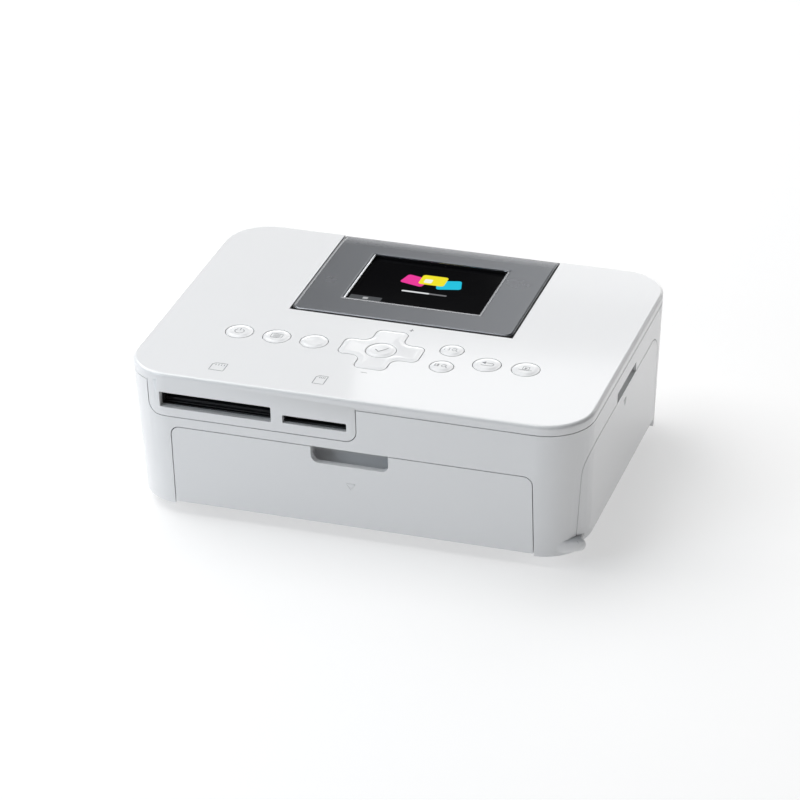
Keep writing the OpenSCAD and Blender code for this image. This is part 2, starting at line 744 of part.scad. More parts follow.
module base_plate() {
    hinge_x = door_w / 2 + door_gap + jamb_t + 0.5;
    color(white) difference() {
        union() {
            difference() {
                body_solid(floor_z0, floor_z1, wall + seam);
                box([-hinge_x, -far, 0], [hinge_x, front_y(0) + jamb_d + 0.4, far]);
                box([side_x(0) - 7.1, ink_door_y0 - door_gap - jamb_t - 1.2, 0],
                    [far, ink_door_y1 + door_gap + jamb_t + 0.4, far]);
            }
            loft([plinth_ring(plinth_z, 1.6), plinth_ring(plinth_z + 1.6, 0),
                plinth_ring(floor_z0 + press, 0)]);
            // side guides of the paper bay
            for (s = [-1, 1]) box([s * bay_half - 0.9, front_y(0) + jamb_d + 1, floor_z1 - press],
                [s * bay_half + 0.9, capstan_at[0] - capstan_r - 1, floor_z1 + 14]);
        }
        at_feet() cylinder(r = foot_r + 0.1, h = plinth_z + 0.8);
        at_bosses() {
            cylinder(r = screw_r + 0.1, h = far);
            cylinder(r = screw_head_r + 0.2, h = floor_z0 + 1);
        }
        for (i = [-6 : 6]) box([i * 7 - 1.2, 24, 0], [i * 7 + 1.2, 40, far]);
    }
}

module rubber_feet() {
    color([0.2, 0.2, 0.2]) at_feet() {
        cylinder(r1 = foot_r - 0.5, r2 = foot_r, h = 0.8);
        translate([0, 0, 0.8]) cylinder(r = foot_r, h = plinth_z);
    }
}

module case_screws() {
    color(steel) at_bosses() {
        translate([0, 0, floor_z0 + 0.1]) difference() {
            cylinder(r = screw_head_r, h = 0.9);
            box([-0.3, -1.4, -1], [0.3, 1.4, 0.5]);
            box([-1.4, -0.3, -1], [1.4, 0.3, 0.5]);
        }
        translate([0, 0, floor_z0 + 0.9]) cylinder(r = screw_r, h = floor_t + boss_h - 8);
    }
}

// --------------------------------------------------------------------- doors

module front_door() {
    nz = door_z1 - notch_h;
    axis_y = front_door_axis_y();
    rib_h = 1;
    color(white) difference() {
        union() {
            intersection() {
                body_wall(1, part_z, 0, door_t);
                front_door_prism(0, -far, 0);
            }
            // hinge knuckles, ribs and latch nubs on the inner face
            for (s = [-1, 1]) {
                bar_x([axis_y, door_axis_z], door_knuckle_r, s * door_w / 2 - (s > 0 ? 7 : 0),
                    s * door_w / 2 + (s > 0 ? 0 : 7));
                for (x = [notch_w / 2 + 5, 41, 58]) along_x(s * x - 0.7, s * x + 0.7) polygon([
                    [front_y(door_z0) + door_t - rib_h, door_z0 + 1],
                    [front_y(door_z0) + door_t + rib_h, door_z0 + 1],
                    [front_y(door_z1) + door_t + rib_h, door_z1 - 8],
                    [front_y(door_z1) + door_t - rib_h, door_z1 - 5]]);
                along_x(s > 0 ? notch_w / 2 + 5 : -58, s > 0 ? 58 : -notch_w / 2 - 5)
                    translate([front_y(nz) + door_t, nz - 3.4]) square([rib_h, 1.4]);
            }
        }
        along_y(-far, 0) polygon(rect_points(-notch_w / 2, nz, notch_w / 2, door_z1 + 8, [0, 0, 3, 3]));
        for (s = [-1, 1])
            bar_x([axis_y, door_axis_z], pin_r + run_gap, s * door_w / 2 - pin_len, s * door_w / 2 + pin_len);
    }
}

module front_door_pins() {
    color(steel) for (s = [-1, 1])
        bar_x([front_door_axis_y(), door_axis_z], pin_r,
            s > 0 ? door_w / 2 - 4.4 : -door_w / 2 - door_gap - jamb_t,
            s > 0 ? door_w / 2 + door_gap + jamb_t : -door_w / 2 + 4.4);
}

module ink_door() {
    x = ink_axis_x();
    color(white) difference() {
        union() {
            intersection() {
                body_wall(1, part_z, 0, door_t);
                ink_door_prism(0, 60, far);
            }
            for (y = [ink_door_y0 + 0.1, ink_door_y1 - ink_knuckle_len - 0.1])
                bar_y([x, ink_axis_z], ink_knuckle_r, y, y + ink_knuckle_len);
            // stiffening ribs that follow the wall
            intersection() {
                body_wall(ink_door_z0 + 2, ink_door_z1 - 5, 1.4, door_t - 0.4);
                for (i = [0 : 4]) let (y = ink_door_y0 + 10 + i * ink_rib_pitch)
                    box([60, y, 0], [far, y + 1.4, far]);
            }
        }
        for (y = [ink_door_y0, ink_door_y1])
            bar_y([x, ink_axis_z], ink_pin_r + run_gap, y - 5.2, y + 5.2);
    }
}

module ink_door_pins() {
    color(steel) {
        bar_y([ink_axis_x(), ink_axis_z], ink_pin_r, ink_door_y0 - door_gap - jamb_t + 0.4, ink_door_y0 + 5);
        bar_y([ink_axis_x(), ink_axis_z], ink_pin_r, ink_door_y1 - 5, ink_door_y1 + door_gap + jamb_t - 0.4);
    }
}

// ------------------------------------------------------------- display panel

// Side view of the panel as [y, z]
module panel_profile() {
    y1 = back_y(panel_z1) - 0.1;
    bend_y = y1 - 11;
    drop = 0.65;
    arc = hinge_z - panel_z0;
    polygon(concat(
        [[panel_y0, hinge_z + 0.5], [panel_y0, panel_z1 - 0.6], [panel_y0 + 0.2, panel_z1 - 0.2],
            [panel_y0 + 0.6, panel_z1]],
        [for (i = [0 : 5]) let (t = i / 5) [bend_y + t * (y1 - 1 - bend_y), panel_z1 - drop * t * t]],
        [[y1 - 0.3, panel_z1 - drop - 0.3], [y1, panel_z1 - drop - 0.9],
            [y1, skirt_z], [panel_cavity_y1 + 1.2, skirt_z], [panel_cavity_y1 + 1.2, panel_z0]],
        [for (a = [270 : -15 : 180]) [hinge_y + arc * cos(a), hinge_z + arc * sin(a)]],
        [[hinge_y - arc, hinge_z + 0.5]]));
}

module lcd_panel() {
    hx = panel_w / 2;
    skin = screen_drop;
    color([0.5, 0.51, 0.53]) difference() {
        intersection() {
            along_x(-hx, hx) panel_profile();
            linear_extrude(far) polygon(rect_points(-hx, panel_y0, hx, far, [0, 0, 2.5, 2.5]));
        }
        box([-hx + panel_wall, panel_cavity_y0, 0], [hx - panel_wall, panel_cavity_y1, panel_z1 - skin]);
        box([-screen_w / 2, screen_y0, 0], [screen_w / 2, screen_y0 + screen_d, far]);
        for (s = [-1, 1]) bar_x([hinge_y, hinge_z], pin_r + run_gap, s * hx - pin_len, s * hx + pin_len);
    }
}

module lcd_back_cover() {
    hx = panel_w / 2 - panel_wall - 0.1;
    color(dark) difference() {
        box([-hx, panel_cavity_y0 + 0.1, panel_z0], [hx, panel_cavity_y1 - 0.1, panel_z0 + 1.1]);
        for (i = [-5 : 5]) box([i * 5 - 0.8, 40, 0], [i * 5 + 0.8, 52, panel_z0 + 0.5]);
    }
}

module lcd_module() {
    color(steel) difference() {
        box([-screen_w / 2 - screen_rim, screen_y0 - screen_rim, panel_z0 + 1.1],
            [screen_w / 2 + screen_rim, screen_y0 + screen_d + screen_rim, panel_z1 - screen_drop - 1.1]);
        box([-screen_w / 2 + 2, screen_y0 + 2, 0],
            [screen_w / 2 - 2, screen_y0 + screen_d - 2, panel_z0 + 1.9]);
    }
}

module lcd_screen() {
    color([0.05, 0.05, 0.06])
        box([-screen_w / 2 - screen_rim, screen_y0 - screen_rim, panel_z1 - screen_drop - 1.1],
            [screen_w / 2 + screen_rim, screen_y0 + screen_d + screen_rim, panel_z1 - screen_drop]);
}

module lcd_pins() {
    x = panel_w / 2 + panel_side_gap + tub_t;
    color(steel) for (s = [-1, 1]) bar_x([hinge_y, hinge_z], pin_r,
        s > 0 ? panel_w / 2 - pin_len + 0.6 : -x, s > 0 ? x : -panel_w / 2 + pin_len - 0.6);
}

// ---------------------------------------------------------------------- keys

// Moulded round key: dished cap, retaining flange and stem
module round_key(at, d, flanged = true) {
    r = d / 2 - key_gap;
    f = flanged ? flange_w : -0.5;
    e = 0.5;
    translate([at[0], at[1], 0]) rotate_extrude() polygon(concat(
        [[0, stem_z], [1.4, stem_z], [1.4, flange_z1 - flange_t], [r + f, flange_z1 - flange_t],
            [r + f, flange_z1], [r, flange_z1]],
        [for (a = [0 : 22.5 : 90]) [r - e + e * cos(a), key_top - e + e * sin(a)]],
        [[0, key_top - 0.15]]));
}

module power_button() color(white) round_key(power_at, key_d);
module menu_button() color(white) round_key(menu_at, key_d);
module edit_button() color(white) round_key(edit_at, key_d);
module ok_button() color(white) round_key(ok_at, ok_d, false);
module zoom_in_button() color(white) round_key(zoom_in_at, zoom_d);
module zoom_out_button() color(white) round_key(zoom_out_at, zoom_d);
module back_button() color(white) round_key(back_at, key_d);
module print_button() color(white) round_key(print_at, key_d);

module four_way_pad() {
    color(white) difference() {
        union() {
            translate([0, 0, flange_z1 - press])
                linear_extrude(key_top - 0.1 - flange_z1 + press) pad_outline(-key_gap);
            translate([0, 0, flange_z1 - flange_t]) linear_extrude(flange_t) pad_outline(flange_w - 0.2);
            for (a = [0 : 90 : 270]) translate([pad_at[0], pad_at[1], stem_z]) rotate(a)
                translate([pad_reach - 5, 0, 0]) cylinder(r = 1.4, h = 2);
        }
        translate([ok_at[0], ok_at[1], 0]) cylinder(r = ok_d / 2, h = far);
    }
}

// Board with a rubber dome under each key
module key_board() {
    color(green) {
        box([-key_board_x, key_board_y0, board_z1 - board_t], [key_board_x, key_board_y1, board_z1]);
        for (k = round_keys) dome(k[0]);
        dome(ok_at);
        for (a = [0 : 90 : 270]) dome(pad_at + (pad_reach - 5) * [cos(a), sin(a)]);
    }
}

module dome(at) {
    translate([at[0], at[1], board_z1 - press]) cylinder(r = dome_r, h = dome_h);
}

// --------------------------------------------------------------- electronics

module main_board() {
    color(green) {
        box([main_board_x0, main_board_y0, main_board_z1 - main_board_t],
            [main_board_x1, main_board_y1, main_board_z1]);
        // chips: place, width, depth, height
        chip([main_board_x0 + 12, main_board_y0 + 15], 14, 14, 1.4);
        chip([main_board_x0 + 32, main_board_y0 + 13], 12, 12, 1.4);
        chip([main_board_x1 - 22, main_board_y0 + 19], 10, 16, 1.8);
        chip([main_board_x0 + 12, main_board_y1 - 16], 10, 8, chip_h);
        chip([main_board_x1 - 42, main_board_y1 - 18], 8, 14, 1.2);
        chip([main_board_x1 - 26, main_board_y1 - 12], 6, 6, chip_h - 0.2);
    }
}

module chip(at, w, d, h) {
    translate([at[0], at[1], main_board_z1 - press]) cube([w, d, h]);
}

// Card connector behind a slot mouth: outer block, card channel and pins
module card_reader(x0, z0, w, h, depth, channel) {
    y0 = front_y(z0) + mouth_d + 0.15;
    cz = z0 + h / 2;
    difference() {
        box([x0 - reader_t, y0, z0 - reader_t], [x0 + w + reader_t, y0 + depth, z0 + h + reader_t]);
        box([x0 + 0.4, y0 - 1, cz - channel / 2], [x0 + w - 0.4, y0 + depth - 6, cz + channel / 2]);
        box([x0 + 0.4, y0 - 1, z0 + 0.4], [x0 + w - 0.4, y0 + 1.5, z0 + h - 0.4]);
    }
    for (i = [1 : 12]) translate([x0 + w * i / 13, y0 + depth - 6, cz]) rotate([90, 0, 0])
        cylinder(r = 0.3, h = 3, $fn = 4);
}

module cf_reader() color(dark) card_reader(cf_x0, cf_z0, cf_w, cf_h, cf_depth, 4);
module sd_reader() color(dark) card_reader(sd_x0, sd_z0, sd_w, sd_h, sd_depth, 2.6);

module dc_jack() {
    y1 = socket_y(jack_x + jack_w / 2);
    z = floor_z1 + jack_h / 2;
    color(dark) {
        difference() {
            union() {
                box([jack_x - jack_w / 2, y1 - 11, floor_z1], [jack_x + jack_w / 2, y1, floor_z1 + jack_h]);
                bar_y([jack_x, z], jack_hole_r - 0.1, y1 - 1, back_y(z) - 0.4);
            }
            bar_y([jack_x, z], 2.6, y1 - 8, far);
        }
        bar_y([jack_x, z], 0.8, y1 - 9, back_y(z) - 1.4);
    }
}

module usb_port() {
    y1 = socket_y(usb_w / 2 - usb_x);
    color(steel) difference() {
        box([usb_x - usb_w / 2, y1 - usb_d, floor_z1], [usb_x + usb_w / 2, y1, floor_z1 + usb_h]);
        difference() {
            box([usb_x - usb_w / 2 + 1.4, y1 - usb_d + 3, floor_z1 + 1.8],
                [usb_x + usb_w / 2 - 1.4, far, floor_z1 + usb_h - 1.4]);
            box([usb_x - 2.6, y1 - usb_d, floor_z1 + 4.6], [usb_x + 2.6, y1 - 1.5, floor_z1 + 7.8]);
        }
    }
}

// ------------------------------------------------------------------- chassis

// Side plate outline as [y, z]
module plate_outline() {
    polygon(rect_points(pickup_at[0] - 9, floor_z1, head_pivot[0] + 4, plate_top, [4, 4, 2, 2]));
}

module plate_holes() {
    for (b = bush_list) translate(b[0]) circle(bush_r);
    translate(pinch_at) circle(pinch_shaft_r + run_gap);
    translate(pickup_at) circle(pickup_shaft_r + run_gap);
    translate(head_pivot) circle(head_shaft_r);
}

module left_plate() {
    color(steel) along_x(-plate_x - plate_t, -plate_x) difference() {
        plate_outline();
        plate_holes();
        translate(take_up_at) circle(bush_r);
        translate(supply_at) circle(journal_r);
        translate(compound_at) circle(pickup_shaft_r);
        translate(pinion_at) circle(2);
        // low front end under the wide card reader, and a window below the supply spool
        translate([-far, plate_low_top]) square([far + front_y(cf_z0) + mouth_d + cf_depth + 1.6, far]);
        translate([supply_at[0] - 11.5, floor_z1 + 4]) square([16, 6]);
    }
}

module right_plate() {
    color(steel) along_x(plate_x, plate_x + plate_t) difference() {
        plate_outline();
        plate_holes();
        translate([take_up_at[0] - tube_r - 1.2, ribbon_z - 0.9])
            square([spool_pitch + 2 * tube_r + 2.4, 2 * tube_r + 2.4]);
        for (z = stud_z) translate([eject_y, z]) circle(eject_stud_r);
    }
}

module cross_bars() {
    color(steel) {
        box([-plate_x, supply_at[0] + tube_r + 1.5, rear_bar_top - 8],
            [plate_x, supply_at[0] + tube_r + 2.7, rear_bar_top]);
        difference() {
            box([-plate_x, take_up_at[0] - tube_r - 3.2, floor_z1 + 23.5],
                [plate_x, take_up_at[0] - tube_r - 2, plate_low_top - 0.4]);
            for (s = [-1, 1]) box([s * 40 - 8, -far, floor_z1 + 26], [s * 40 + 8, far, plate_low_top - 3]);
        }
    }
}

// Moulded guides that carry the paper between the rollers, with ribs on top
module paper_guides() {
    spans = [[capstan_at[0] + capstan_r + 0.6, platen_at[0] - platen_r - 0.8],
        [platen_at[0] + platen_r + 0.8, back_y(paper_z) - wall - 1.4]];
    color(dark) for (s = spans) {
        difference() {
            box([-plate_x, s[0], paper_z - 2.4], [plate_x, s[1], paper_z - 0.9]);
            for (x = [-1, 1]) box([x * 48 - 8, s[0] + 8, 0], [x * 48 + 8, s[1] - 8, far]);
        }
        for (i = [-6 : 6])
            box([i * 8.5 - 0.6, s[0] + 1, paper_z - 1], [i * 8.5 + 0.6, s[1] - 1, paper_z - 0.2]);
    }
}

module bushes() {
    color([0.78, 0.62, 0.3]) {
        for (s = [-1, 1]) for (b = bush_list) bush(b[0], b[1], s);
        bush(take_up_at, hub_r, -1);
    }
}

module bush(at, r, s) {
    x0 = plate_x - bush_in;
    x1 = plate_x + plate_t + 0.4;
    difference() {
        union() {
            bar_x(at, bush_r, s > 0 ? x0 : -x1, s > 0 ? x1 : -x0);
            bar_x(at, bush_r + 0.8, s > 0 ? x0 : -plate_x, s > 0 ? plate_x : -x0);
        }
        bar_x(at, r + run_gap, s > 0 ? 0 : -far, s > 0 ? far : 0);
    }
}

// Stud for the compound gear and spindle for the supply spool
module gear_stud() {
    color(steel) {
        bar_x(compound_at, pickup_shaft_r, -outer_gear_x - gear_w - 0.8, -plate_x);
        bar_x(compound_at, pickup_shaft_r + 1, -gear_x + 0.1, -plate_x - plate_t);
        bar_x(supply_at, journal_r, -plate_x - plate_t, -shell_half - 1);
        bar_x(supply_at, journal_r + 1.4, -plate_x, -plate_x + 0.8);
    }
}

// ------------------------------------------------------------------- rollers

module platen_roller() {
    color(dark) difference() {
        bar_x(platen_at, platen_r, -roller_half, roller_half);
        bar_x(platen_at, journal_r + 1, -far, far);
    }
}

module platen_shaft() {
    color(steel) {
        bar_x(platen_at, journal_r + 1, -roller_half - 4, roller_half + 4);
        bar_x(platen_at, journal_r, -shaft_x, shaft_x);
    }
}

module capstan() {
    color(steel) {
        bar_x(capstan_at, capstan_r, -roller_half - 3, roller_half + 3);
        bar_x(capstan_at, journal_r, -gear_x - gear_w - 0.4, shaft_x);
    }
}

module pinch_rollers() {
    color(dark) {
        bar_x(pinch_at, pinch_shaft_r, -plate_x - plate_t, plate_x + plate_t);
        x = tyre_x + 6;
        for (s = [-1, 1]) bar_x(pinch_at, pinch_r, s > 0 ? x : -52, s > 0 ? 52 : -x);
    }
}

module pickup_shaft() {
    color(steel) bar_x(pickup_at, pickup_shaft_r, -gear_x - gear_w - 0.4, plate_x + plate_t);
}

// Two grooved tyres that lift the top sheet
module pickup_tyres() {
    grooves = 18;
    color(dark) for (s = [-1, 1]) along_x(s * tyre_x - 4, s * tyre_x + 4) translate(pickup_at) difference() {
        polygon([for (i = [0 : 2 * grooves - 1]) for (e = [0.2, 0.8])
            let (a = 180 * (i + e) / grooves, r = i % 2 == 0 ? tyre_r : tyre_r - 0.5) r * [cos(a), sin(a)]]);
        circle(pickup_shaft_r);
    }
}

// --------------------------------------------------------------------- drive

module at_x(at, x) {
    translate([x, at[0], at[1]]) children();
}

module capstan_gear() {
    color(nylon) at_x(capstan_at, -gear_x - gear_w) gear(capstan_teeth, journal_r, capstan_phase);
}

module pickup_gear() {
    color(nylon) at_x(pickup_at, -gear_x - gear_w) gear(pickup_teeth, pickup_shaft_r, pickup_phase);
}

module compound_gear() {
    bore = pickup_shaft_r + run_gap;
    color(nylon) {
        at_x(compound_at, -outer_gear_x) gear(small_teeth, bore, 0, outer_gear_x - gear_x);
        at_x(compound_at, -outer_gear_x - gear_w) gear(big_teeth, bore, 0);
    }
}

module take_up_gear() {
    tip = shell_half - 1;
    color(nylon) {
        at_x(take_up_at, -gear_x - gear_w) gear(take_up_teeth, 0.4, take_up_phase);
        difference() {
            bar_x(take_up_at, hub_r, -gear_x - press, -plate_x + bush_in + 0.2);
            bar_x(take_up_at, 0.4, -far, -plate_x);
        }
        for (a = [0, 90]) at_x(take_up_at, 0) rotate([a, 0, 0])
            box([-plate_x + bush_in, -hub_r, -0.8], [-tip, hub_r, 0.8]);
    }
}

module feed_motor() {
    x1 = -plate_x + motor_len;
    color(steel) difference() {
        union() {
            intersection() {
                bar_x(pinion_at, motor_r, -plate_x, x1);
                box([-far, -far, pinion_at[1] - motor_r + motor_flat],
                    [far, far, pinion_at[1] + motor_r - motor_flat]);
            }
            bar_x(pinion_at, 2, x1 - press, x1 + 1.2);
        }
        bar_x(pinion_at, 1 + run_gap, -far, -plate_x + 6);
    }
}

module motor_pinion() {
    color([0.8, 0.66, 0.34]) {
        at_x(pinion_at, -outer_gear_x - gear_w) gear(pinion_teeth, 1, pinion_phase);
        bar_x(pinion_at, 1, -outer_gear_x - gear_w - 0.3, -plate_x + 5.5);
    }
}

// ---------------------------------------------------------------- print head

// The head rests lifted clear of the ribbon
module lifted() {
    translate([0, head_pivot[0], head_pivot[1]]) rotate([-head_lift, 0, 0])
        translate([0, -head_pivot[0], -head_pivot[1]]) children();
}

module head_shaft() {
    color(steel) bar_x(head_pivot, head_shaft_r, -plate_x - plate_t, plate_x + plate_t);
}

module heat_sink() {
    fins = 5;
    color([0.66, 0.67, 0.7]) lifted() {
        box([-head_w / 2, platen_at[0] - sink_half, sink_z0],
            [head_w / 2, platen_at[0] + sink_half, sink_z0 + 6]);
        for (i = [0 : fins - 1]) let (y = platen_at[0] - sink_half + i * (2 * sink_half - 1) / (fins - 1))
            box([-head_w / 2, y, sink_z0 + 6 - press], [head_w / 2, y + 1, sink_z1]);
    }
}

module thermal_bar() {
    color([0.85, 0.8, 0.7]) lifted() along_x(-head_w / 2 + 1, head_w / 2 - 1) polygon([
        [platen_at[0] - 5, sink_z0], [platen_at[0] - 5, head_z0 + 1],
        for (a = [200 : 20 : 340]) [platen_at[0] + 2 * cos(a), head_z0 + 2 + 2 * sin(a)],
        [platen_at[0] + 5, head_z0 + 1], [platen_at[0] + 5, sink_z0]]);
}

// Two cranked arms and the bridge screwed to the heat sink
module head_arms() {
    y = platen_at[0];
    tube_top = spool_z + tube_r + 0.8;
    color(steel) lifted() difference() {
        union() {
            for (s = [-1, 1]) along_x(s * arm_x - arm_t / 2, s * arm_x + arm_t / 2) union() {
                polygon([[y - sink_half + 1.1, sink_z1], [y - sink_half + 1.1, sink_z1 + 2],
                    [head_pivot[0] - 8, sink_z1 + 3.4], [head_pivot[0], head_pivot[1] + 3.4],
                    [head_pivot[0] + 1, head_pivot[1] - 3.2], [head_pivot[0] - 3, head_pivot[1] - 3.2],
                    [head_pivot[0] - 8, tube_top], [y + 9, tube_top], [y + 7, sink_z1]]);
                translate(head_pivot) circle(head_shaft_r + 1.4);
            }
            box([-arm_x, y - sink_half, sink_z1], [arm_x, y + sink_half, sink_z1 + 1.4]);
        }
        bar_x(head_pivot, head_shaft_r + run_gap, -far, far);
    }
}

// -------------------------------------------------------------- ink cassette

module cassette_shell() {
    in_r = tube_r - tube_wall;
    x1 = shell_half;
    mid = (take_up_at[0] + supply_at[0]) / 2;
    color(dark) difference() {
        union() {
            for (c = [take_up_at, supply_at]) difference() {
                bar_x(c, tube_r, -x1, x1);
                bar_x(c, in_r, -x1 + shell_end_t, x1 - shell_end_t);
            }
            // low bridge at the far end, flat plate and grip at the near end
            box([-x1, take_up_at[0] + 3, ribbon_z + 0.4],
                [-x1 + shell_end_t, supply_at[0] - 3, ribbon_z + 3.9]);
            along_x(x1 - 0.5, x1 + 2.4) union() {
                for (c = [take_up_at, supply_at]) translate(c) circle(tube_r);
                translate([take_up_at[0], spool_z - tube_r]) square([spool_pitch, 2 * tube_r]);
            }
            box([x1 + 2.3, mid - 11, spool_z - 3], [x1 + 18, mid + 11, spool_z + 3]);
            for (i = [0 : 3]) box([x1 + 7 + 3 * i, mid - 10.4, spool_z - 3.5],
                [x1 + 8.2 + 3 * i, mid + 10.4, spool_z + 3.5]);
        }
        // slits for the film
        for (s = [-1, 1]) let (c = s < 0 ? take_up_at : supply_at)
            along_x(-roller_half, roller_half) translate(c) rotate(s < 0 ? -52 : -128)
                translate([in_r - 1, -1.3]) square([4, 2.6]);
        bar_x(take_up_at, socket_r + 0.1, -far, -x1 + shell_end_t + 0.1);
        bar_x(supply_at, socket_r + 0.1, -far, -x1 + shell_end_t + 0.1);
        for (c = [take_up_at, supply_at]) bar_x(c, journal_r + run_gap, x1 - shell_end_t - 0.1, x1 + 1.6);
    }
}

module spool(at, wound) {
    x = shell_half - shell_end_t - 0.2;
    rim = tube_r - tube_wall - 0.6;
    bar_x(at, 3.4, -x, x);
    bar_x(at, wound, -51, 51);
    for (s = [-1, 1]) bar_x(at, rim, s > 0 ? 51.5 : -52.7, s > 0 ? 52.7 : -51.5);
    bar_x(at, socket_r, -shell_half - 0.6, -x + 1);
    bar_x(at, journal_r, x - 1, shell_half + 1.3);
}

module take_up_spool() {
    color([0.3, 0.3, 0.34]) difference() {
        spool(take_up_at, takeup_r);
        for (a = [0, 90]) at_x(take_up_at, 0) rotate([a, 0, 0])
            box([-far, -hub_r - 0.2, -1], [-shell_half + 4.4, hub_r + 0.2, 1]);
    }
}

module supply_spool() {
    color([0.3, 0.3, 0.34]) difference() {
        spool(supply_at, supply_r);
        bar_x(supply_at, journal_r + run_gap, -far, -shell_half + 4);
    }
}

// Film from slit to slit, low under the print head
module ink_ribbon() {
    t = 0.15;
    y0 = take_up_at[0] + (tube_r - tube_wall) * cos(52);
    z0 = spool_z - (tube_r - tube_wall) * sin(52);
    y1 = supply_at[0] - (tube_r - tube_wall) * cos(52);
    p = [[y0, z0], [platen_at[0] - 9, ribbon_z], [platen_at[0] + 6, ribbon_z], [y1, z0]];
    color([0.75, 0.2, 0.45]) along_x(-50, 50) polygon(concat(
        [for (q = p) [q[0], q[1] + t]], [for (i = [3 : -1 : 0]) p[i]]));
}

// ---------------------------------------------------------------- eject lever

module eject_lever() {
    x0 = plate_x + plate_t + 0.3;
    r = eject_stud_r + run_gap;
    color([0.25, 0.45, 0.75]) difference() {
        union() {
            along_x(x0, x0 + 1.8)
                polygon(rect_points(eject_y - 2.6, eject_z0, eject_y + 2.6, eject_z0 + 19, [1, 1, 1, 1]));
            along_x(x0 + 1, x0 + 9)
                polygon(rect_points(eject_y - 2.6, eject_z0, eject_y + 2.6, eject_z0 + 2.8, [1, 1, 1, 1]));
        }
        // slot that rides on both studs
        for (z = stud_z) along_x(x0 - 1, x0 + 3) union() {
            translate([eject_y, z]) circle(r);
            translate([eject_y, z + eject_travel]) circle(r);
            translate([eject_y - r, z]) square([2 * r, eject_travel]);
        }
    }
}

module eject_studs() {
    x0 = plate_x + plate_t + 0.3;
    color(steel) for (z = stud_z) {
        bar_x([eject_y, z], eject_stud_r, plate_x, x0 + 2.1);
        bar_x([eject_y, z], eject_stud_r + 0.7, x0 + 2.1 - press, x0 + 2.7);
    }
}

// --------------------------------------------------------------------- nodes

lower_case();
top_cover();
base_plate();
rubber_feet();
case_screws();
front_door();
front_door_pins();
ink_door();
ink_door_pins();
lcd_panel();
lcd_back_cover();
lcd_screen();
lcd_module();
lcd_pins();
power_button();
menu_button();
edit_button();
four_way_pad();
ok_button();
zoom_in_button();
zoom_out_button();
back_button();
print_button();
key_board();
main_board();
cf_reader();
sd_reader();
dc_jack();
usb_port();
left_plate();
right_plate();
cross_bars();
paper_guides();
bushes();
gear_stud();
platen_roller();
platen_shaft();
capstan();
capstan_gear();
pinch_rollers();
pickup_shaft();
pickup_tyres();
pickup_gear();
compound_gear();
take_up_gear();
feed_motor();
motor_pinion();
head_shaft();
head_arms();
heat_sink();
thermal_bar();
cassette_shell();
take_up_spool();
supply_spool();
ink_ribbon();
eject_lever();
eject_studs();
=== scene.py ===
# %% [markdown]
# # Compact photo printer, in finished form
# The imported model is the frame: its bodies, nodes and joints stay where they are. A visible skin is either
# a finished piece that stands for a CAD node, or the CAD node itself with soft edges and a finish on it.
# Lengths are millimetres, and the helpers turn them into Blender's metres.

# %% Load the frame
import json
import math

import bpy
import numpy as np
from mathutils import Matrix, Vector


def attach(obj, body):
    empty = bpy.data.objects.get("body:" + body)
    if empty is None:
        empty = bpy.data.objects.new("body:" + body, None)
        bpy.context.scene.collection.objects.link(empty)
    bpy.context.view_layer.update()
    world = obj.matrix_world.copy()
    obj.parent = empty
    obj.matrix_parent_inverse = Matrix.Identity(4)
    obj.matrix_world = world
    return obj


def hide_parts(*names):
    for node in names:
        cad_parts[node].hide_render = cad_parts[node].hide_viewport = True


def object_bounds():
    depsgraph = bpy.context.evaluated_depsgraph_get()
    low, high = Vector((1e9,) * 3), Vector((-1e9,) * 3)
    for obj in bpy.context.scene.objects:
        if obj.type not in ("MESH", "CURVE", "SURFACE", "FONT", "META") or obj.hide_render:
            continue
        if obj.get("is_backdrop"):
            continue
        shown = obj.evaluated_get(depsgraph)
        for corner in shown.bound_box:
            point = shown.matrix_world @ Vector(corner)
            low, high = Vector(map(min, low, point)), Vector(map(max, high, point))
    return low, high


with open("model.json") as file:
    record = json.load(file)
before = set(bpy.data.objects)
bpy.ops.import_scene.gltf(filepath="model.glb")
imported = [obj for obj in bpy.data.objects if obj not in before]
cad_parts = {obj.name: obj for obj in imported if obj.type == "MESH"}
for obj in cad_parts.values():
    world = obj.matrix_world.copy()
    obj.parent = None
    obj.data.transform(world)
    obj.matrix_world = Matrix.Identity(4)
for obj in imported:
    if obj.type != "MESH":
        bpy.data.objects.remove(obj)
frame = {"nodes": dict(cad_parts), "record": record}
NODES = frame["nodes"]
BODY = {n: b for b, nodes in frame["record"]["behaviour"]["bodies"].items() for n in nodes}
CAD_LO, CAD_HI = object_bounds()


def save_size():
    """The outer box of the CAD nodes and of all pieces so far, given back as rows."""
    lo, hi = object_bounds()
    rows = {"cad": [list(CAD_LO), list(CAD_HI)], "bounds": [list(lo), list(hi)]}
    return rows


save_size()

# %% [markdown]
# ## Camera
# A camera could be dragged into place by eye. Here it stands on a sphere round the body, given by an angle
# round it, a height angle and a distance, so that each value can be fitted by itself. The lens is long, as
# for a product shot, and two small shifts and a roll set the body in the picture.

# %% Camera
AZ, EL, ROLL = (math.radians(a) for a in (18.313, 28.321, -0.994))
DIST, SHIFT_X, SHIFT_Y, FOCUS_PX = 1460.39, -1.144, -3.047, 3832.5
PICTURE_PX, SENSOR, AIM_HEIGHT = 800, 36, 30.0
NEAREST, FARTHEST = 0.05, 20

back = np.array([math.sin(AZ) * math.cos(EL), -math.cos(AZ) * math.cos(EL), math.sin(EL)])
right = np.cross(-back, [0, 0, 1])
right /= np.linalg.norm(right)
up = np.cross(right, -back)
cam_x = math.cos(ROLL) * right + math.sin(ROLL) * up
cam_y = math.cos(ROLL) * up - math.sin(ROLL) * right
spot = np.array([0, 0, AIM_HEIGHT]) + back * DIST + cam_x * SHIFT_X + cam_y * SHIFT_Y
turn = np.column_stack([cam_x, cam_y, back])

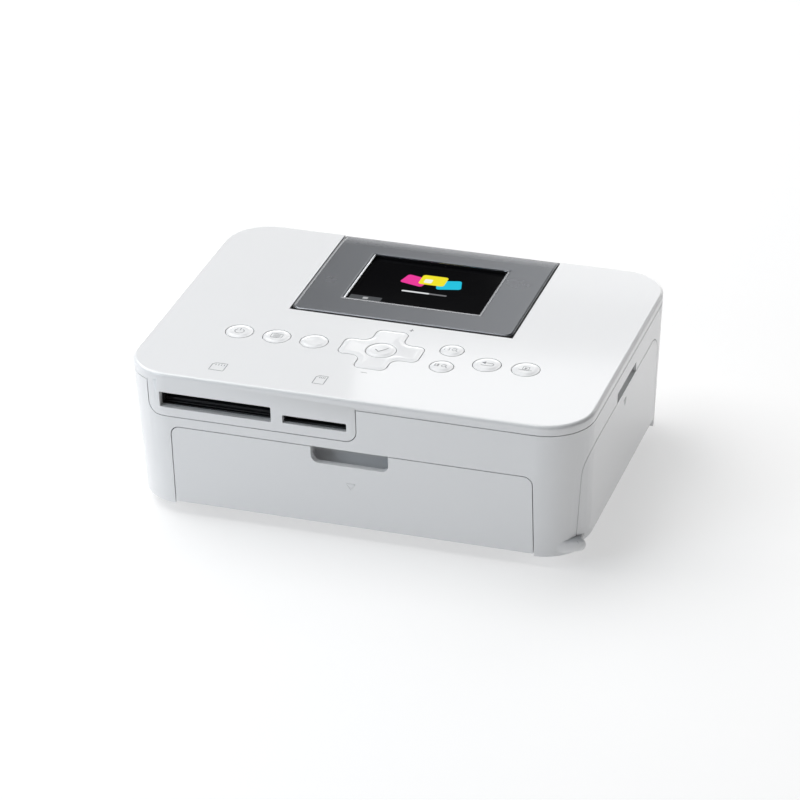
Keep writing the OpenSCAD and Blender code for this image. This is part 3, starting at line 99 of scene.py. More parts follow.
scene = bpy.context.scene
camera = bpy.data.objects.new("camera", bpy.data.cameras.new("camera"))
scene.collection.objects.link(camera)
camera.matrix_world = Matrix.Translation(spot / 1000) @ Matrix(turn.tolist()).to_4x4()
camera.data.sensor_width = SENSOR
camera.data.lens = SENSOR * FOCUS_PX / PICTURE_PX
camera.data.clip_start, camera.data.clip_end = NEAREST, FARTHEST
scene.camera = camera
print("lens", round(camera.data.lens, 1), "mm, at", np.round(spot, 1))

# %% [markdown]
# ## Lamps
# White plastic shows its form only by soft steps of brightness, and a single lamp would give it hard ones.
# A wide panel overhead gives most of the light. A second one far behind has its lower edge just where the
# top face starts to mirror it, so the near half of the top is a shade brighter than the far half. A small
# cool one fills the front. All three stand to the left, so the ink door is the darker side.

# %% Lamps
SKY, SKY_STRENGTH = (0.92, 0.96, 1, 1), 0.08
LAMPS = {
    "panel_overhead": {"spot": (-0.95, 0.25, 1.5), "aim": (0, 0, 0), "size": (1.9, 1.8), "watts": 39},
    "panel_behind": {"spot": (-0.7, 5.6, 4.35), "aim": (0, 0, 0.06), "size": (2.7, 2.3), "watts": 50},
    "panel_left": {"spot": (-0.42, -0.5, 0.3), "aim": (-0.05, -0.06, 0.03), "size": (0.3, 0.3), "watts": 1.05,
                   "colour": (0.8, 0.9, 1)},
}


def softbox(name, spot, aim, size, watts, colour=(1, 1, 1)):
    """A rectangular lamp at a spot in metres, turned so that its face looks at the aim."""
    lamp = bpy.data.lights.new(name, "AREA")
    lamp.shape = "RECTANGLE"
    lamp.size, lamp.size_y = size
    lamp.energy, lamp.color = watts, colour
    o = bpy.data.objects.new(name, lamp)
    scene.collection.objects.link(o)
    o.location = spot
    o.rotation_euler = (Vector(aim) - Vector(spot)).to_track_quat("-Z", "Y").to_euler()
    return o


scene.view_settings.view_transform = "Standard"
world = bpy.data.worlds.new("room")
scene.world = world
world.use_nodes = True
world.node_tree.nodes["Background"].inputs["Color"].default_value = SKY
world.node_tree.nodes["Background"].inputs["Strength"].default_value = SKY_STRENGTH
for name, lamp in LAMPS.items():
    softbox(name, **lamp)
print(len(LAMPS), "panels")

# %% [markdown]
# ## Light table and cards
# The object stands on a pale sheet. A plain white sheet would carry a dark shadow, so this one glows a
# little, as a light table does. Glossy edges need something to mirror as well: a pale wall at the back
# shows in the rounded edges and in the bend of the display panel, and a card above it in the right half of
# the top.

# %% Light table and cards
SHEET_HALF, SHEET_Z = 4, -5e-5          # just under the feet, so that the two faces never share a plane
SET_CARDS = {
    "light_table": ([(-SHEET_HALF, -SHEET_HALF, SHEET_Z), (SHEET_HALF, -SHEET_HALF, SHEET_Z),
                     (SHEET_HALF, SHEET_HALF, SHEET_Z), (-SHEET_HALF, SHEET_HALF, SHEET_Z)], 0.51),
    "back_wall": ([(-4, 4, 0), (2.6, 4, 0), (2.6, 4, 1.25), (-4, 4, 1.25)], 2.2),
    "upper_card": ([(-1.45, 5, 1.65), (1.5, 5, 1.65), (1.5, 5, 2.65), (-1.45, 5, 2.65)], 1.1),
}
CARD_GREY, CARD_ROUGH, CARD_SHEEN = (0.5, 0.5, 0.5, 1), 0.9, 0.1


def stage_card(name, corners, glow):
    """A flat card of the set that glows, from its four corners in metres."""
    mesh = bpy.data.meshes.new(name)
    mesh.from_pydata(corners, [], [(0, 1, 2, 3)])
    o = bpy.data.objects.new(name, mesh)
    scene.collection.objects.link(o)
    o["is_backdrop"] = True
    m = bpy.data.materials.new(name + "_surface")
    m.use_nodes = True
    s = m.node_tree.nodes["Principled BSDF"]
    s.inputs["Base Color"].default_value = CARD_GREY
    s.inputs["Roughness"].default_value = CARD_ROUGH
    s.inputs["Specular IOR Level"].default_value = CARD_SHEEN
    s.inputs["Emission Color"].default_value = (1, 1, 1, 1)
    s.inputs["Emission Strength"].default_value = glow
    mesh.materials.append(m)
    return o


for name, (corners, glow) in SET_CARDS.items():
    stage_card(name, corners, glow)
print(len(SET_CARDS), "cards")

# %% [markdown]
# ## Building node trees
# A material is a net of nodes. Each could be added and wired line by line, but a sum such as a x b + c
# would then take six lines. These helpers add one node, set its inputs or link them, and give back its
# output, so a net reads like the formula that it stands for.

# %% Building node trees


def feed(tree, socket, value):
    """Link the value to the socket if it is an output of another node, and set it otherwise."""
    if isinstance(value, bpy.types.NodeSocket):
        tree.links.new(value, socket)
    elif value is not None:
        socket.default_value = value


def math_node(tree, op, a=None, b=None, c=None, clamp=False):
    """One sum of up to three sockets or numbers."""
    n = tree.nodes.new("ShaderNodeMath")
    n.operation, n.use_clamp = op, clamp
    for socket, value in zip(n.inputs, (a, b, c)):
        feed(tree, socket, value)
    return n.outputs[0]


def vector_node(tree, op, a, b=None):
    """One sum of two vectors; a length comes out as a number."""
    n = tree.nodes.new("ShaderNodeVectorMath")
    n.operation = op
    feed(tree, n.inputs[0], a)
    feed(tree, n.inputs[1], b)
    return n.outputs["Value" if op == "LENGTH" else "Vector"]


def scaled(tree, vector, factor):
    """A vector times a number."""
    n = tree.nodes.new("ShaderNodeVectorMath")
    n.operation = "SCALE"
    feed(tree, n.inputs[0], vector)
    feed(tree, n.inputs["Scale"], factor)
    return n.outputs[0]


def place_of(tree):
    """The shaded point in the object's own metres."""
    return tree.nodes.new("ShaderNodeTexCoord").outputs["Object"]


def axis_of(tree, axis):
    """One coordinate of the shaded point."""
    n = tree.nodes.new("ShaderNodeSeparateXYZ")
    tree.links.new(place_of(tree), n.inputs[0])
    return n.outputs[axis]


def noise(tree, scale, detail=2.0):
    """Noise over the object's own place."""
    n = tree.nodes.new("ShaderNodeTexNoise")
    n.inputs["Detail"].default_value = detail
    tree.links.new(place_of(tree), n.inputs["Vector"])
    feed(tree, n.inputs["Scale"], scale)
    return n.outputs["Fac"]


def mixed(tree, mask, a, b):
    """Colour a where the mask is 0 and b where it is 1; each is a socket or three numbers."""
    n = tree.nodes.new("ShaderNodeMix")
    n.data_type = "RGBA"
    tree.links.new(mask, n.inputs["Factor"])
    for key, value in (("A", a), ("B", b)):
        socket = [s for s in n.inputs if s.name == key and s.type == "RGBA"][0]
        feed(tree, socket, (*value, 1) if isinstance(value, tuple) else value)
    return [s for s in n.outputs if s.type == "RGBA"][0]


print("node helpers")

# %% [markdown]
# ## Node groups
# Grain, gloss and tone are the same sums in every material, only with other values. The nodes could be
# copied into each, but then a change would have to be made many times. A node group is a net of its own
# with named inputs and outputs, built once and used wherever it is needed.

# %% Node groups


def new_group(name, inputs, outputs):
    """An empty node group with the named input and output sockets."""
    group = bpy.data.node_groups.new(name, "ShaderNodeTree")
    for n, kind, value in inputs:
        s = group.interface.new_socket(name=n, in_out="INPUT", socket_type="NodeSocket" + kind)
        s.default_value = value
    for n, kind in outputs:
        group.interface.new_socket(name=n, in_out="OUTPUT", socket_type="NodeSocket" + kind)
    return group, group.nodes.new("NodeGroupInput"), group.nodes.new("NodeGroupOutput")


def group_node(tree, group, **values):
    """The first output of a group that is used with these values."""
    n = tree.nodes.new("ShaderNodeGroup")
    n.node_tree = group
    for key, value in values.items():
        feed(tree, n.inputs[key], value)
    return n.outputs[0]


print("group helpers")

# %% [markdown]
# ## Grain, gloss and tone
# Moulded plastic is never quite even: the mould's texture gives it a fine grain, cooling leaves wide
# shallow waves, and its gloss and colour drift a little. Pictures of real plastic could be wrapped round
# the parts, but they would repeat and stretch. Noise in the object's own place does neither, and each
# finish asks for its own amount.

# %% Grain, gloss and tone
WAVE_SCALE = 90.0


def grain_group():
    """Height = noise x strength + wide noise x wave."""
    g, gi, go = new_group("grain", [("Scale", "Float", 2500.0), ("Strength", "Float", 1.0),
                                    ("Wave", "Float", 0.0)], [("Height", "Float")])
    fine = math_node(g, "MULTIPLY", noise(g, gi.outputs["Scale"], 3), gi.outputs["Strength"])
    wide = math_node(g, "MULTIPLY", noise(g, WAVE_SCALE, 1), gi.outputs["Wave"])
    g.links.new(math_node(g, "ADD", fine, wide), go.inputs["Height"])
    return g


def gloss_group():
    """Roughness = base + spread x noise."""
    g, gi, go = new_group("uneven_gloss", [("Base", "Float", 0.3), ("Spread", "Float", 0.05),
                                           ("Scale", "Float", 60.0)], [("Roughness", "Float")])
    n = noise(g, gi.outputs["Scale"], 4)
    rough = math_node(g, "MULTIPLY_ADD", n, gi.outputs["Spread"], gi.outputs["Base"], True)
    g.links.new(rough, go.inputs["Roughness"])
    return g


def tone_group():
    """Colour x (1 + drift x noise)."""
    g, gi, go = new_group("tone", [("Color", "Color", (0.8, 0.8, 0.8, 1)), ("Drift", "Float", 0.04),
                                   ("Scale", "Float", 25.0)], [("Color", "Color")])
    by = math_node(g, "MULTIPLY_ADD", noise(g, gi.outputs["Scale"], 3), gi.outputs["Drift"], 1.0)
    g.links.new(scaled(g, gi.outputs["Color"], by), go.inputs["Color"])
    return g


GRAIN, GLOSS, TONE = grain_group(), gloss_group(), tone_group()
print(len(bpy.data.node_groups), "effect groups")

# %% [markdown]
# ## Tiles, height bands and fine lines
# The display's picture is made of flat tiles with round corners. They could be thin pieces laid on the
# glass, but a real picture has no thickness, so each is a mask worked out from the distance to a turned
# rectangle. A band of heights tells a chip from the board it stands on, and a sine across x gives metal the
# fine lines of its rolling.

# %% Tiles, height bands and fine lines


def tile_group():
    """1 inside a turned tile with round corners, whose distance is |max(|p| - half, 0)| - radius."""
    g, gi, go = new_group("tile_mask", [("Centre", "Vector", (0, 0, 0)), ("Turn", "Float", 0.0),
                                        ("Half", "Vector", (1, 1, 1)), ("Radius", "Float", 1.0),
                                        ("Soft", "Float", 0.1)], [("Mask", "Float")])
    from_centre = vector_node(g, "SUBTRACT", scaled(g, place_of(g), 1000), gi.outputs["Centre"])
    turned = g.nodes.new("ShaderNodeVectorRotate")
    turned.rotation_type = "Z_AXIS"
    g.links.new(vector_node(g, "MULTIPLY", from_centre, (1.0, 1.0, 0.0)), turned.inputs["Vector"])
    g.links.new(gi.outputs["Turn"], turned.inputs["Angle"])
    over = vector_node(g, "SUBTRACT", vector_node(g, "ABSOLUTE", turned.outputs[0]), gi.outputs["Half"])
    away = vector_node(g, "LENGTH", vector_node(g, "MAXIMUM", over, (0.0, 0.0, 0.0)))
    past_edge = math_node(g, "SUBTRACT", away, gi.outputs["Radius"])
    fade = math_node(g, "DIVIDE", past_edge, gi.outputs["Soft"])
    g.links.new(math_node(g, "SUBTRACT", 1.0, fade, clamp=True), go.inputs["Mask"])
    return g


def band_group():
    """1 where the height lies between low and high, in millimetres."""
    g, gi, go = new_group("height_band", [("Low", "Float", 0.0), ("High", "Float", 1.0)], [("Mask", "Float")])
    z = math_node(g, "MULTIPLY", axis_of(g, "Z"), 1000.0)
    above = math_node(g, "GREATER_THAN", z, gi.outputs["Low"])
    below = math_node(g, "LESS_THAN", z, gi.outputs["High"])
    g.links.new(math_node(g, "MULTIPLY", above, below), go.inputs["Mask"])
    return g


def stripe_group():
    """Height of fine parallel lines across x: sin(2 pi x / pitch), pitch in millimetres."""
    g, gi, go = new_group("stripes", [("Pitch", "Float", 1.0), ("Strength", "Float", 1.0)],
                          [("Height", "Float")])
    angle = math_node(g, "MULTIPLY", axis_of(g, "X"), 2000.0 * math.pi)
    wave = math_node(g, "SINE", math_node(g, "DIVIDE", angle, gi.outputs["Pitch"]))
    g.links.new(math_node(g, "MULTIPLY", wave, gi.outputs["Strength"]), go.inputs["Height"])
    return g


TILE, BAND, STRIPES = tile_group(), band_group(), stripe_group()
print(len(bpy.data.node_groups), "effect groups")

# %% [markdown]
# ## One function for every finish
# Plastic, metal and rubber look very different, and every one of them could have its own net. Yet they
# differ only in colour, gloss, grain and whether they conduct, so one function builds them all from the
# shared effects. Values that vary over the surface come from a group, and the others are set on the shader
# itself.

# %% One function for every finish
BUMP_DEPTH, REFRACTION, COAT_ROUGH = 0.0001, 1.5, 0.05


def finish(name, colour, rough, metal=0.0, coat=0.0, drift=0.03, spread=0.05, grain=(2500, 0.1), wave=0.0,
           lines=None):
    """A material: drifting base colour, uneven gloss, and a bump of grain (scale, strength) or lines."""
    m = bpy.data.materials.new(name)
    m.use_nodes = True
    t = m.node_tree
    s = t.nodes["Principled BSDF"]
    t.links.new(group_node(t, TONE, Color=(*colour, 1), Drift=drift), s.inputs["Base Color"])
    t.links.new(group_node(t, GLOSS, Base=rough, Spread=spread), s.inputs["Roughness"])
    s.inputs["Metallic"].default_value = metal
    s.inputs["IOR"].default_value = REFRACTION
    s.inputs["Coat Weight"].default_value = coat
    s.inputs["Coat Roughness"].default_value = COAT_ROUGH
    height = group_node(t, GRAIN, Scale=grain[0], Wave=wave)
    if lines:
        height = math_node(t, "ADD", height, group_node(t, STRIPES, Pitch=lines))
    bump = t.nodes.new("ShaderNodeBump")
    bump.inputs["Strength"].default_value = grain[1]
    bump.inputs["Distance"].default_value = BUMP_DEPTH
    t.links.new(height, bump.inputs["Height"])
    t.links.new(bump.outputs[0], s.inputs["Normal"])
    return m


print("bumps are", BUMP_DEPTH * 1000, "mm deep at full strength")

# %% [markdown]
# ## Finishes of the printer
# The shell is glossy white plastic under a thin clear coat, with a wide shallow wave, because a mirror-flat
# white face would look like paper. The display panel is a dark metallic grey. Inside are steel shafts,
# brass bushes, nylon gears and black plastic. Each CAD node names its own slot in the record, so the table
# is laid on by that name.

# %% Finishes of the printer
WHITE = (0.79, 0.793, 0.799)
FINISH = {
    "white_shell": finish("white_shell", WHITE, 0.3, coat=0.5, drift=0.012, grain=(900, 0.03), wave=1.2),
    "white_keys": finish("white_keys", WHITE, 0.3, coat=0.4, drift=0.01, grain=(900, 0.03), wave=0.6),
    "grey_base": finish("grey_base", (0.5, 0.51, 0.53), 0.55, grain=(1800, 0.3)),
    "rubber": finish("rubber", (0.03, 0.03, 0.032), 0.75, grain=(2600, 0.5)),
    "steel": finish("steel", (0.6, 0.61, 0.63), 0.3, metal=1, grain=(1500, 0.1)),
    "panel_grey": finish("panel_grey", (0.11, 0.116, 0.127), 0.24, metal=0.5, drift=0.02, grain=(2400, 0.03)),
    "screen": finish("screen", (0.003, 0.003, 0.0035), 0.05, grain=(400, 0.0)),
    "black_plastic": finish("black_plastic", (0.018, 0.018, 0.02), 0.5, grain=(2200, 0.3)),
    "board": finish("board", (0.02, 0.11, 0.04), 0.4, grain=(1200, 0.2)),
    "brass": finish("brass", (0.66, 0.46, 0.18), 0.28, metal=1, grain=(1500, 0.1)),
    "nylon": finish("nylon", (0.72, 0.7, 0.62), 0.42, grain=(1500, 0.15)),
    "aluminium": finish("aluminium", (0.62, 0.63, 0.65), 0.35, metal=1, grain=(2500, 0.15), lines=0.35),
    "ceramic": finish("ceramic", (0.66, 0.62, 0.52), 0.35, grain=(2000, 0.1)),
    "spool": finish("spool", (0.06, 0.06, 0.07), 0.45, grain=(2000, 0.2)),
    "dye_film": finish("dye_film", (0.4, 0.04, 0.14), 0.18, grain=(600, 0.05)),
    "blue_plastic": finish("blue_plastic", (0.05, 0.15, 0.45), 0.38, grain=(1800, 0.2)),
}
TRIM = finish("bright_trim", (0.78, 0.79, 0.81), 0.22, metal=1, grain=(3000, 0.05))
BEVEL = finish("bevel_grey", (0.3, 0.31, 0.33), 0.3, metal=1, grain=(3000, 0.05))
PRINT = finish("grey_print", (0.27, 0.275, 0.285), 0.5, drift=0.05, grain=(3000, 0.1))

slots = {s["node"]: s["material_slot"] for s in frame["record"]["subparts"]}
for name, o in NODES.items():
    o.data.materials.clear()
    o.data.materials.append(FINISH[slots[name]])
print(len(FINISH), "finishes on", len(NODES), "nodes")

# %% [markdown]
# ## Picture on the display
# A lit display is the one thing on the printer that gives light. It shows a picture of its own: three
# picture tiles fanned out, a bar that fills up below them, and a small tab in the lower corner. An image
# file could be put on the glass, but masks stay sharp at any size. Each tile is painted over the ones
# before it.

# %% Picture on the display
SOFT_EDGE, BACKLIGHT, GLASS_SHEEN = 0.25, 0.9, 0.01
# Middle, turn in degrees, half width and half depth inside the round edge, radius of that edge, colour
TILES = [
    ((-6.2, 36.0), 14, (3.6, 2.4), 1.1, (0.93, 0.05, 0.36)),
    ((7.6, 35.6), -14, (3.6, 2.4), 1.1, (0.02, 0.6, 0.82)),
    ((0.7, 37.8), 0, (3.9, 2.7), 1.1, (0.98, 0.86, 0.03)),
    ((-1.1, 36.9), 0, (0.9, 0.9), 0.55, (1.0, 1.0, 0.9)),
    ((0.4, 26.6), 0, (8.6, 0.12), 0.28, (0.2, 0.2, 0.21)),
    ((-3.1, 26.6), 0, (5.1, 0.12), 0.28, (0.85, 0.86, 0.88)),
    ((-20.0, 16.6), 0, (5.9, 1.3), 0.3, (0.085, 0.09, 0.095)),
    ((-20.0, 16.6), 0, (0.7, 0.5), 0.2, (0.5, 0.51, 0.52)),
]
t = FINISH["screen"].node_tree
shader = t.nodes["Principled BSDF"]
picture = (0.0, 0.0, 0.0)
for centre, degrees, half, radius, paint in TILES:
    mask = group_node(t, TILE, Centre=(*centre, 0), Turn=math.radians(degrees), Half=(*half, 1),
                      Radius=radius, Soft=SOFT_EDGE)
    picture = mixed(t, mask, picture, paint)
t.links.new(picture, shader.inputs["Emission Color"])
shader.inputs["Emission Strength"].default_value = BACKLIGHT
shader.inputs["Specular IOR Level"].default_value = GLASS_SHEEN
print(len(TILES), "tiles on the display")

# %% [markdown]
# ## Boards
# A circuit board is green lacquer over copper tracks, with black chips and pale key domes standing on it.
# Each could have a material of its own, but board and chips are one CAD node, so the finish tells them
# apart by height. The edges of square cells look like tracks that run at right angles.

# %% Boards
LACQUER, TRACK = (0.015, 0.085, 0.03), (0.05, 0.2, 0.07)
CHIP, DOME = (0.012, 0.012, 0.013), (0.62, 0.63, 0.62)
CHIP_BAND, DOME_BAND = (51.75, 54.25), (55.15, 56.5)
TRACK_CELLS, TRACK_WIDTH = 320, 0.05

t = FINISH["board"].node_tree
shader = t.nodes["Principled BSDF"]
cells = t.nodes.new("ShaderNodeTexVoronoi")
cells.feature, cells.distance = "DISTANCE_TO_EDGE", "MANHATTAN"
cells.inputs["Scale"].default_value = TRACK_CELLS
t.links.new(place_of(t), cells.inputs["Vector"])
track = math_node(t, "LESS_THAN", cells.outputs["Distance"], TRACK_WIDTH)
green = mixed(t, track, LACQUER, TRACK)
chip = group_node(t, BAND, Low=CHIP_BAND[0], High=CHIP_BAND[1])
dome = group_node(t, BAND, Low=DOME_BAND[0], High=DOME_BAND[1])
dark = mixed(t, chip, green, CHIP)
t.links.new(mixed(t, dome, dark, DOME), shader.inputs["Base Color"])
print("boards have tracks, chips and domes")

# %% [markdown]
# ## Soft edges
# A mould rounds every edge a little, and that is what catches the light. The CAD solids are sharp. Their
# fillets could be modelled one by one, but modifiers do it for all nodes alike: they drop the stored
# normals, merge loose triangles, join flat faces, round each edge over 35 degrees, and weigh the normals by
# face area, so that flat faces stay flat. Small teeth and screws take a finer edge.

# %% Soft edges
EDGE, FINE_EDGE, COVER_EDGE = 0.2, 0.08, 0.12
FINE = {"capstan_gear", "pickup_gear", "compound_gear", "take_up_gear", "motor_pinion", "pickup_tyres",
        "key_board", "case_screws", "bushes", "gear_stud"}
MERGE, FLAT_DEGREES, SHARP_DEGREES = 2e-6, 0.2, 35


def smooth_group():
    """A modifier that drops the stored normals and marks every face and edge as smooth."""
    g = bpy.data.node_groups.new("shade_smooth", "GeometryNodeTree")
    g.interface.new_socket(name="Geometry", in_out="INPUT", socket_type="NodeSocketGeometry")
    g.interface.new_socket(name="Geometry", in_out="OUTPUT", socket_type="NodeSocketGeometry")
    last = g.nodes.new("NodeGroupInput").outputs[0]
    for attribute in ("custom_normal", "sharp_face", "sharp_edge"):
        n = g.nodes.new("GeometryNodeRemoveAttribute")
        n.inputs["Name"].default_value = attribute
        g.links.new(last, n.inputs["Geometry"])
        last = n.outputs["Geometry"]
    g.links.new(last, g.nodes.new("NodeGroupOutput").inputs[0])
    return g


SMOOTH = smooth_group()


def soften(o, width, clamp=True):
    """Drop stored normals, merge, join flat faces, round the edges by a width, and weigh the normals."""
    shade = o.modifiers.new("shade", "NODES")
    shade.node_group = SMOOTH
    weld = o.modifiers.new("weld", "WELD")
    weld.merge_threshold = MERGE
    joined = o.modifiers.new("flat", "DECIMATE")
    joined.decimate_type, joined.angle_limit = "DISSOLVE", math.radians(FLAT_DEGREES)
    edge = o.modifiers.new("edge", "BEVEL")
    edge.width, edge.segments = width / 1000, 2
    edge.limit_method, edge.angle_limit = "ANGLE", math.radians(SHARP_DEGREES)
    edge.use_clamp_overlap, edge.miter_outer = clamp, "MITER_SHARP"
    normals = o.modifiers.new("normals", "WEIGHTED_NORMAL")
    normals.keep_sharp, normals.weight = True, 100


for name, o in NODES.items():
    if name == "top_cover":
        soften(o, COVER_EDGE, clamp=False)
    else:
        soften(o, FINE_EDGE if name in FINE else EDGE)
print(len(NODES), "nodes with soft edges")

# %% [markdown]
# ## Surfaces from formulas
# The CAD keys and the face of the display are simple solids, and their soft forms are made new here. They
# could be sculpted, but a moulded form follows a rule. So each piece is a grid of points given by a formula
# in two parameters, or a profile turned round an axis. The helpers turn whole arrays into a mesh, put it on
# its body, and let it stand for its CAD nodes.

# %% Surfaces from formulas


def grid_faces(rows, cols, close_rows=False):
    """Quads between neighbouring points of a grid whose columns close on themselves, and rows if asked."""
    r, c = np.meshgrid(np.arange(rows if close_rows else rows - 1), np.arange(cols), indexing="ij")
    r2, c2 = (r + 1) % rows, (c + 1) % cols
    return np.stack([r * cols + c, r * cols + c2, r2 * cols + c2, r2 * cols + c], -1).reshape(-1, 4)


def outward(pts, faces):
    """Faces turned so that the closed mesh has a positive volume, the sum of a . (b x c) over triangles."""
    f = np.asarray([list(q) + [q[-1]] * (4 - len(q)) for q in faces])
    a, b, c, d = (pts[f[:, k]] for k in range(4))
    volume = np.einsum("ij,ij->i", a, np.cross(b, c)).sum() + np.einsum("ij,ij->i", a, np.cross(c, d)).sum()
    return faces if volume > 0 else [list(q)[::-1] for q in faces]


def piece(name, points, faces, material, body, replaces=()):
    """A finished object from points in millimetres and a list of faces, riding on a body."""
    mesh = bpy.data.meshes.new(name)
    mesh.from_pydata((np.asarray(points, float).reshape(-1, 3) / 1000).tolist(), [], faces)
    mesh.polygons.foreach_set("use_smooth", np.ones(len(mesh.polygons), bool))
    mesh.materials.append(material)
    mesh.validate()
    o = bpy.data.objects.new(name, mesh)
    scene.collection.objects.link(o)
    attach(o, body)
    if replaces:
        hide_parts(*replaces)
    return o


def turned(profile, at, n=96):
    """A profile of (radius, height) turned round the vertical axis at (x, y); both ends lie on the axis."""
    profile = np.asarray(profile, float)
    a = np.linspace(0, 2 * math.pi, n, endpoint=False)
    ring = profile[1:-1]
    x = at[0] + ring[:, :1] * np.cos(a)
    y = at[1] + ring[:, :1] * np.sin(a)
    z = np.repeat(ring[:, 1:], n, 1)
    pts = np.stack([x, y, z], -1).reshape(-1, 3)
    ends = np.array([[*at, profile[0, 1]], [*at, profile[-1, 1]]])
    rows, first, last = len(ring), len(pts), len(pts) + 1
    i = np.arange(n)
    j = (i + 1) % n
    low = np.stack([np.full(n, first), j, i], -1)
    high = np.stack([np.full(n, last), (rows - 1) * n + i, (rows - 1) * n + j], -1)
    return np.vstack([pts, ends]), grid_faces(rows, n).tolist() + np.vstack([low, high]).tolist()


print("shapes come as grids and turned profiles")

# %% [markdown]
# ## Round keys
# A key is one moulding: a stem that meets the switch, a flange that holds it under the cover, and a top
# that stands a little proud. Its edge lies level with the cover, the top rises over a soft shoulder, and
# the crown is hollowed for the fingertip. A cylinder with a bevelled edge would lack that shoulder, so each
# key is a turned profile whose top is one height formula. The symbols printed on it use the same formula
# later.

# %% Round keys
COVER_TOP, KEY_TOP = 60.5, 60.88
PLAY, RIM, RISE, DIP = 0.3, 0.15, 1.9, 0.14
STEM_Z, STEM_R, FLANGE_FOOT, FLANGE_TOP, CHAMFER = 56.4, 1.4, 57.1, 58.0, 0.1
# Middle, diameter of the hole in the cover, and how far the flange reaches past the key
KEYS = {
    "power_button": ((-55.9, -25.2), 11.0, 0.9), "menu_button": ((-41.1, -25.2), 11.0, 0.9),
    "edit_button": ((-26.3, -25.2), 11.0, 0.9), "back_button": ((41.1, -25.2), 11.0, 0.9),
    "print_button": ((55.9, -24.8), 11.0, 0.9), "zoom_in_button": ((25.4, -17.9), 9.4, 0.9),
    "zoom_out_button": ((25.4, -31.2), 9.4, 0.9), "ok_button": ((0.0, -25.2), 11.8, -0.5),
}


def rise(t):
    """Smooth step 3 t^2 - 2 t^3 from 0 to 1."""
    t = np.clip(t, 0, 1)
    return 3 * t ** 2 - 2 * t ** 3


def key_height(r, s):
    """Height at distance s from the axis: cover + shoulder's step - dip (1 - (s / crown)^2) in the crown."""
    crown = r - RIM - RISE
    bowl = DIP * (1 - (np.minimum(s, crown) / crown) ** 2)
    return COVER_TOP + (KEY_TOP - COVER_TOP) * rise((r - RIM - s) / RISE) - bowl


def rim_arc(n=5):
    """Inward and upward steps of the quarter-round rim: radius x (1 - cos a) and radius x (sin a - 1)."""
    a = np.linspace(0, math.pi / 2, n)
    return RIM * (1 - np.cos(a)), RIM * (np.sin(a) - 1)


def key_profile(r, flange):
    """Stem, flange, skirt, quarter-round rim, then the key's height over the shoulder to the middle."""
    inward, upward = rim_arc()
    shoulder = r - RIM - RISE * np.linspace(0, 1, 11)[1:]
    crown = (r - RIM - RISE) * np.linspace(1, 0, 12)[1:]
    s = np.concatenate([shoulder, crown])
    out = r + flange
    foot = [[0, STEM_Z], [STEM_R - CHAMFER, STEM_Z], [STEM_R, STEM_Z + CHAMFER], [STEM_R, FLANGE_FOOT],
            [out - CHAMFER, FLANGE_FOOT], [out, FLANGE_FOOT + CHAMFER], [out, FLANGE_TOP - CHAMFER],
            [out - CHAMFER, FLANGE_TOP], [r, FLANGE_TOP + CHAMFER]]
    rim = np.stack([r - inward, COVER_TOP + upward], -1)
    return np.vstack([foot, rim, np.stack([s, key_height(r, s)], -1)])


for name, (at, hole, flange) in KEYS.items():
    pts, faces = turned(key_profile(hole / 2 - PLAY, flange), at)
    piece(name + "_cap", pts, faces, FINISH["white_keys"], BODY[name], (name,))
print(len(KEYS), "round keys")

# %% [markdown]
# ## Four-way pad
# The pad is a plus with round arms and hollow corners, with a hole for the key in its middle. It could be
# cut from a plate, but its edge has to rise as softly as that of the keys all the way round. So one outline
# is carried round the section: out under the flange, up the skirt, over the same shoulder, and down a
# gentle slope into the hole. On the way in, the outline blends from the plus to the circle, and its points
# keep their partners.

# %% Four-way pad
PAD_AT, OK_SHIFT, OK_HOLE = np.array([0.0, -24.8]), np.array([0.0, -0.4]), 5.9
REACH, ARM, HOLLOW, CURVE = 15.8, 6.4, 3.4, 2.9
PAD_TOP, PAD_DIP, PAD_FLANGE, PAD_CHAMFER = 60.78, 0.24, 0.7, 0.05
HOLE_EDGE, HOLE_DROP = 0.15, 0.12


def pad_outline(grow, n=16):
    """A quarter is two convex arcs and a hollow arc joined by straights, turned by quarters to a plus."""
    a = np.linspace(0, math.pi / 2, n)
    arm_end = (CURVE + grow) * np.stack([np.cos(a), np.sin(a)], -1)
    corner = (HOLLOW - grow) * np.stack([np.sin(a), np.cos(a)], -1)
    quarter = np.vstack([[[REACH + grow, 0.0]], [REACH - CURVE, ARM - CURVE] + arm_end,
                         [ARM + HOLLOW, ARM + HOLLOW] - corner, [ARM - CURVE, REACH - CURVE] + arm_end])
    quarters = np.arange(4) * math.pi / 2
    turns = [np.array([[math.cos(q), math.sin(q)], [-math.sin(q), math.cos(q)]]) for q in quarters]
    return np.vstack([quarter @ m for m in turns])


def pad_levels():
    """Rows of (growth, height, share of the way to the hole): flange, skirt, rim, shoulder and slope."""
    wide, foot, top = PAD_FLANGE, FLANGE_FOOT, FLANGE_TOP
    flange = [(wide - PAD_CHAMFER, foot, 0), (wide, foot + PAD_CHAMFER, 0), (wide, top - PAD_CHAMFER, 0),
              (wide - PAD_CHAMFER, top, 0), (-PLAY, top + PAD_CHAMFER, 0)]
    rim = [(-PLAY - i, COVER_TOP + u, 0) for i, u in zip(*rim_arc())]
    shoulder = [(-PLAY - RIM - RISE * t, COVER_TOP + (PAD_TOP - COVER_TOP) * rise(t), 0)
                for t in np.linspace(0, 1, 11)[1:]]
    slope = [(-PLAY - RIM - RISE, PAD_TOP - PAD_DIP * rise(w), w) for w in np.linspace(0, 1, 15)[1:]]
    return flange + rim + shoulder + slope


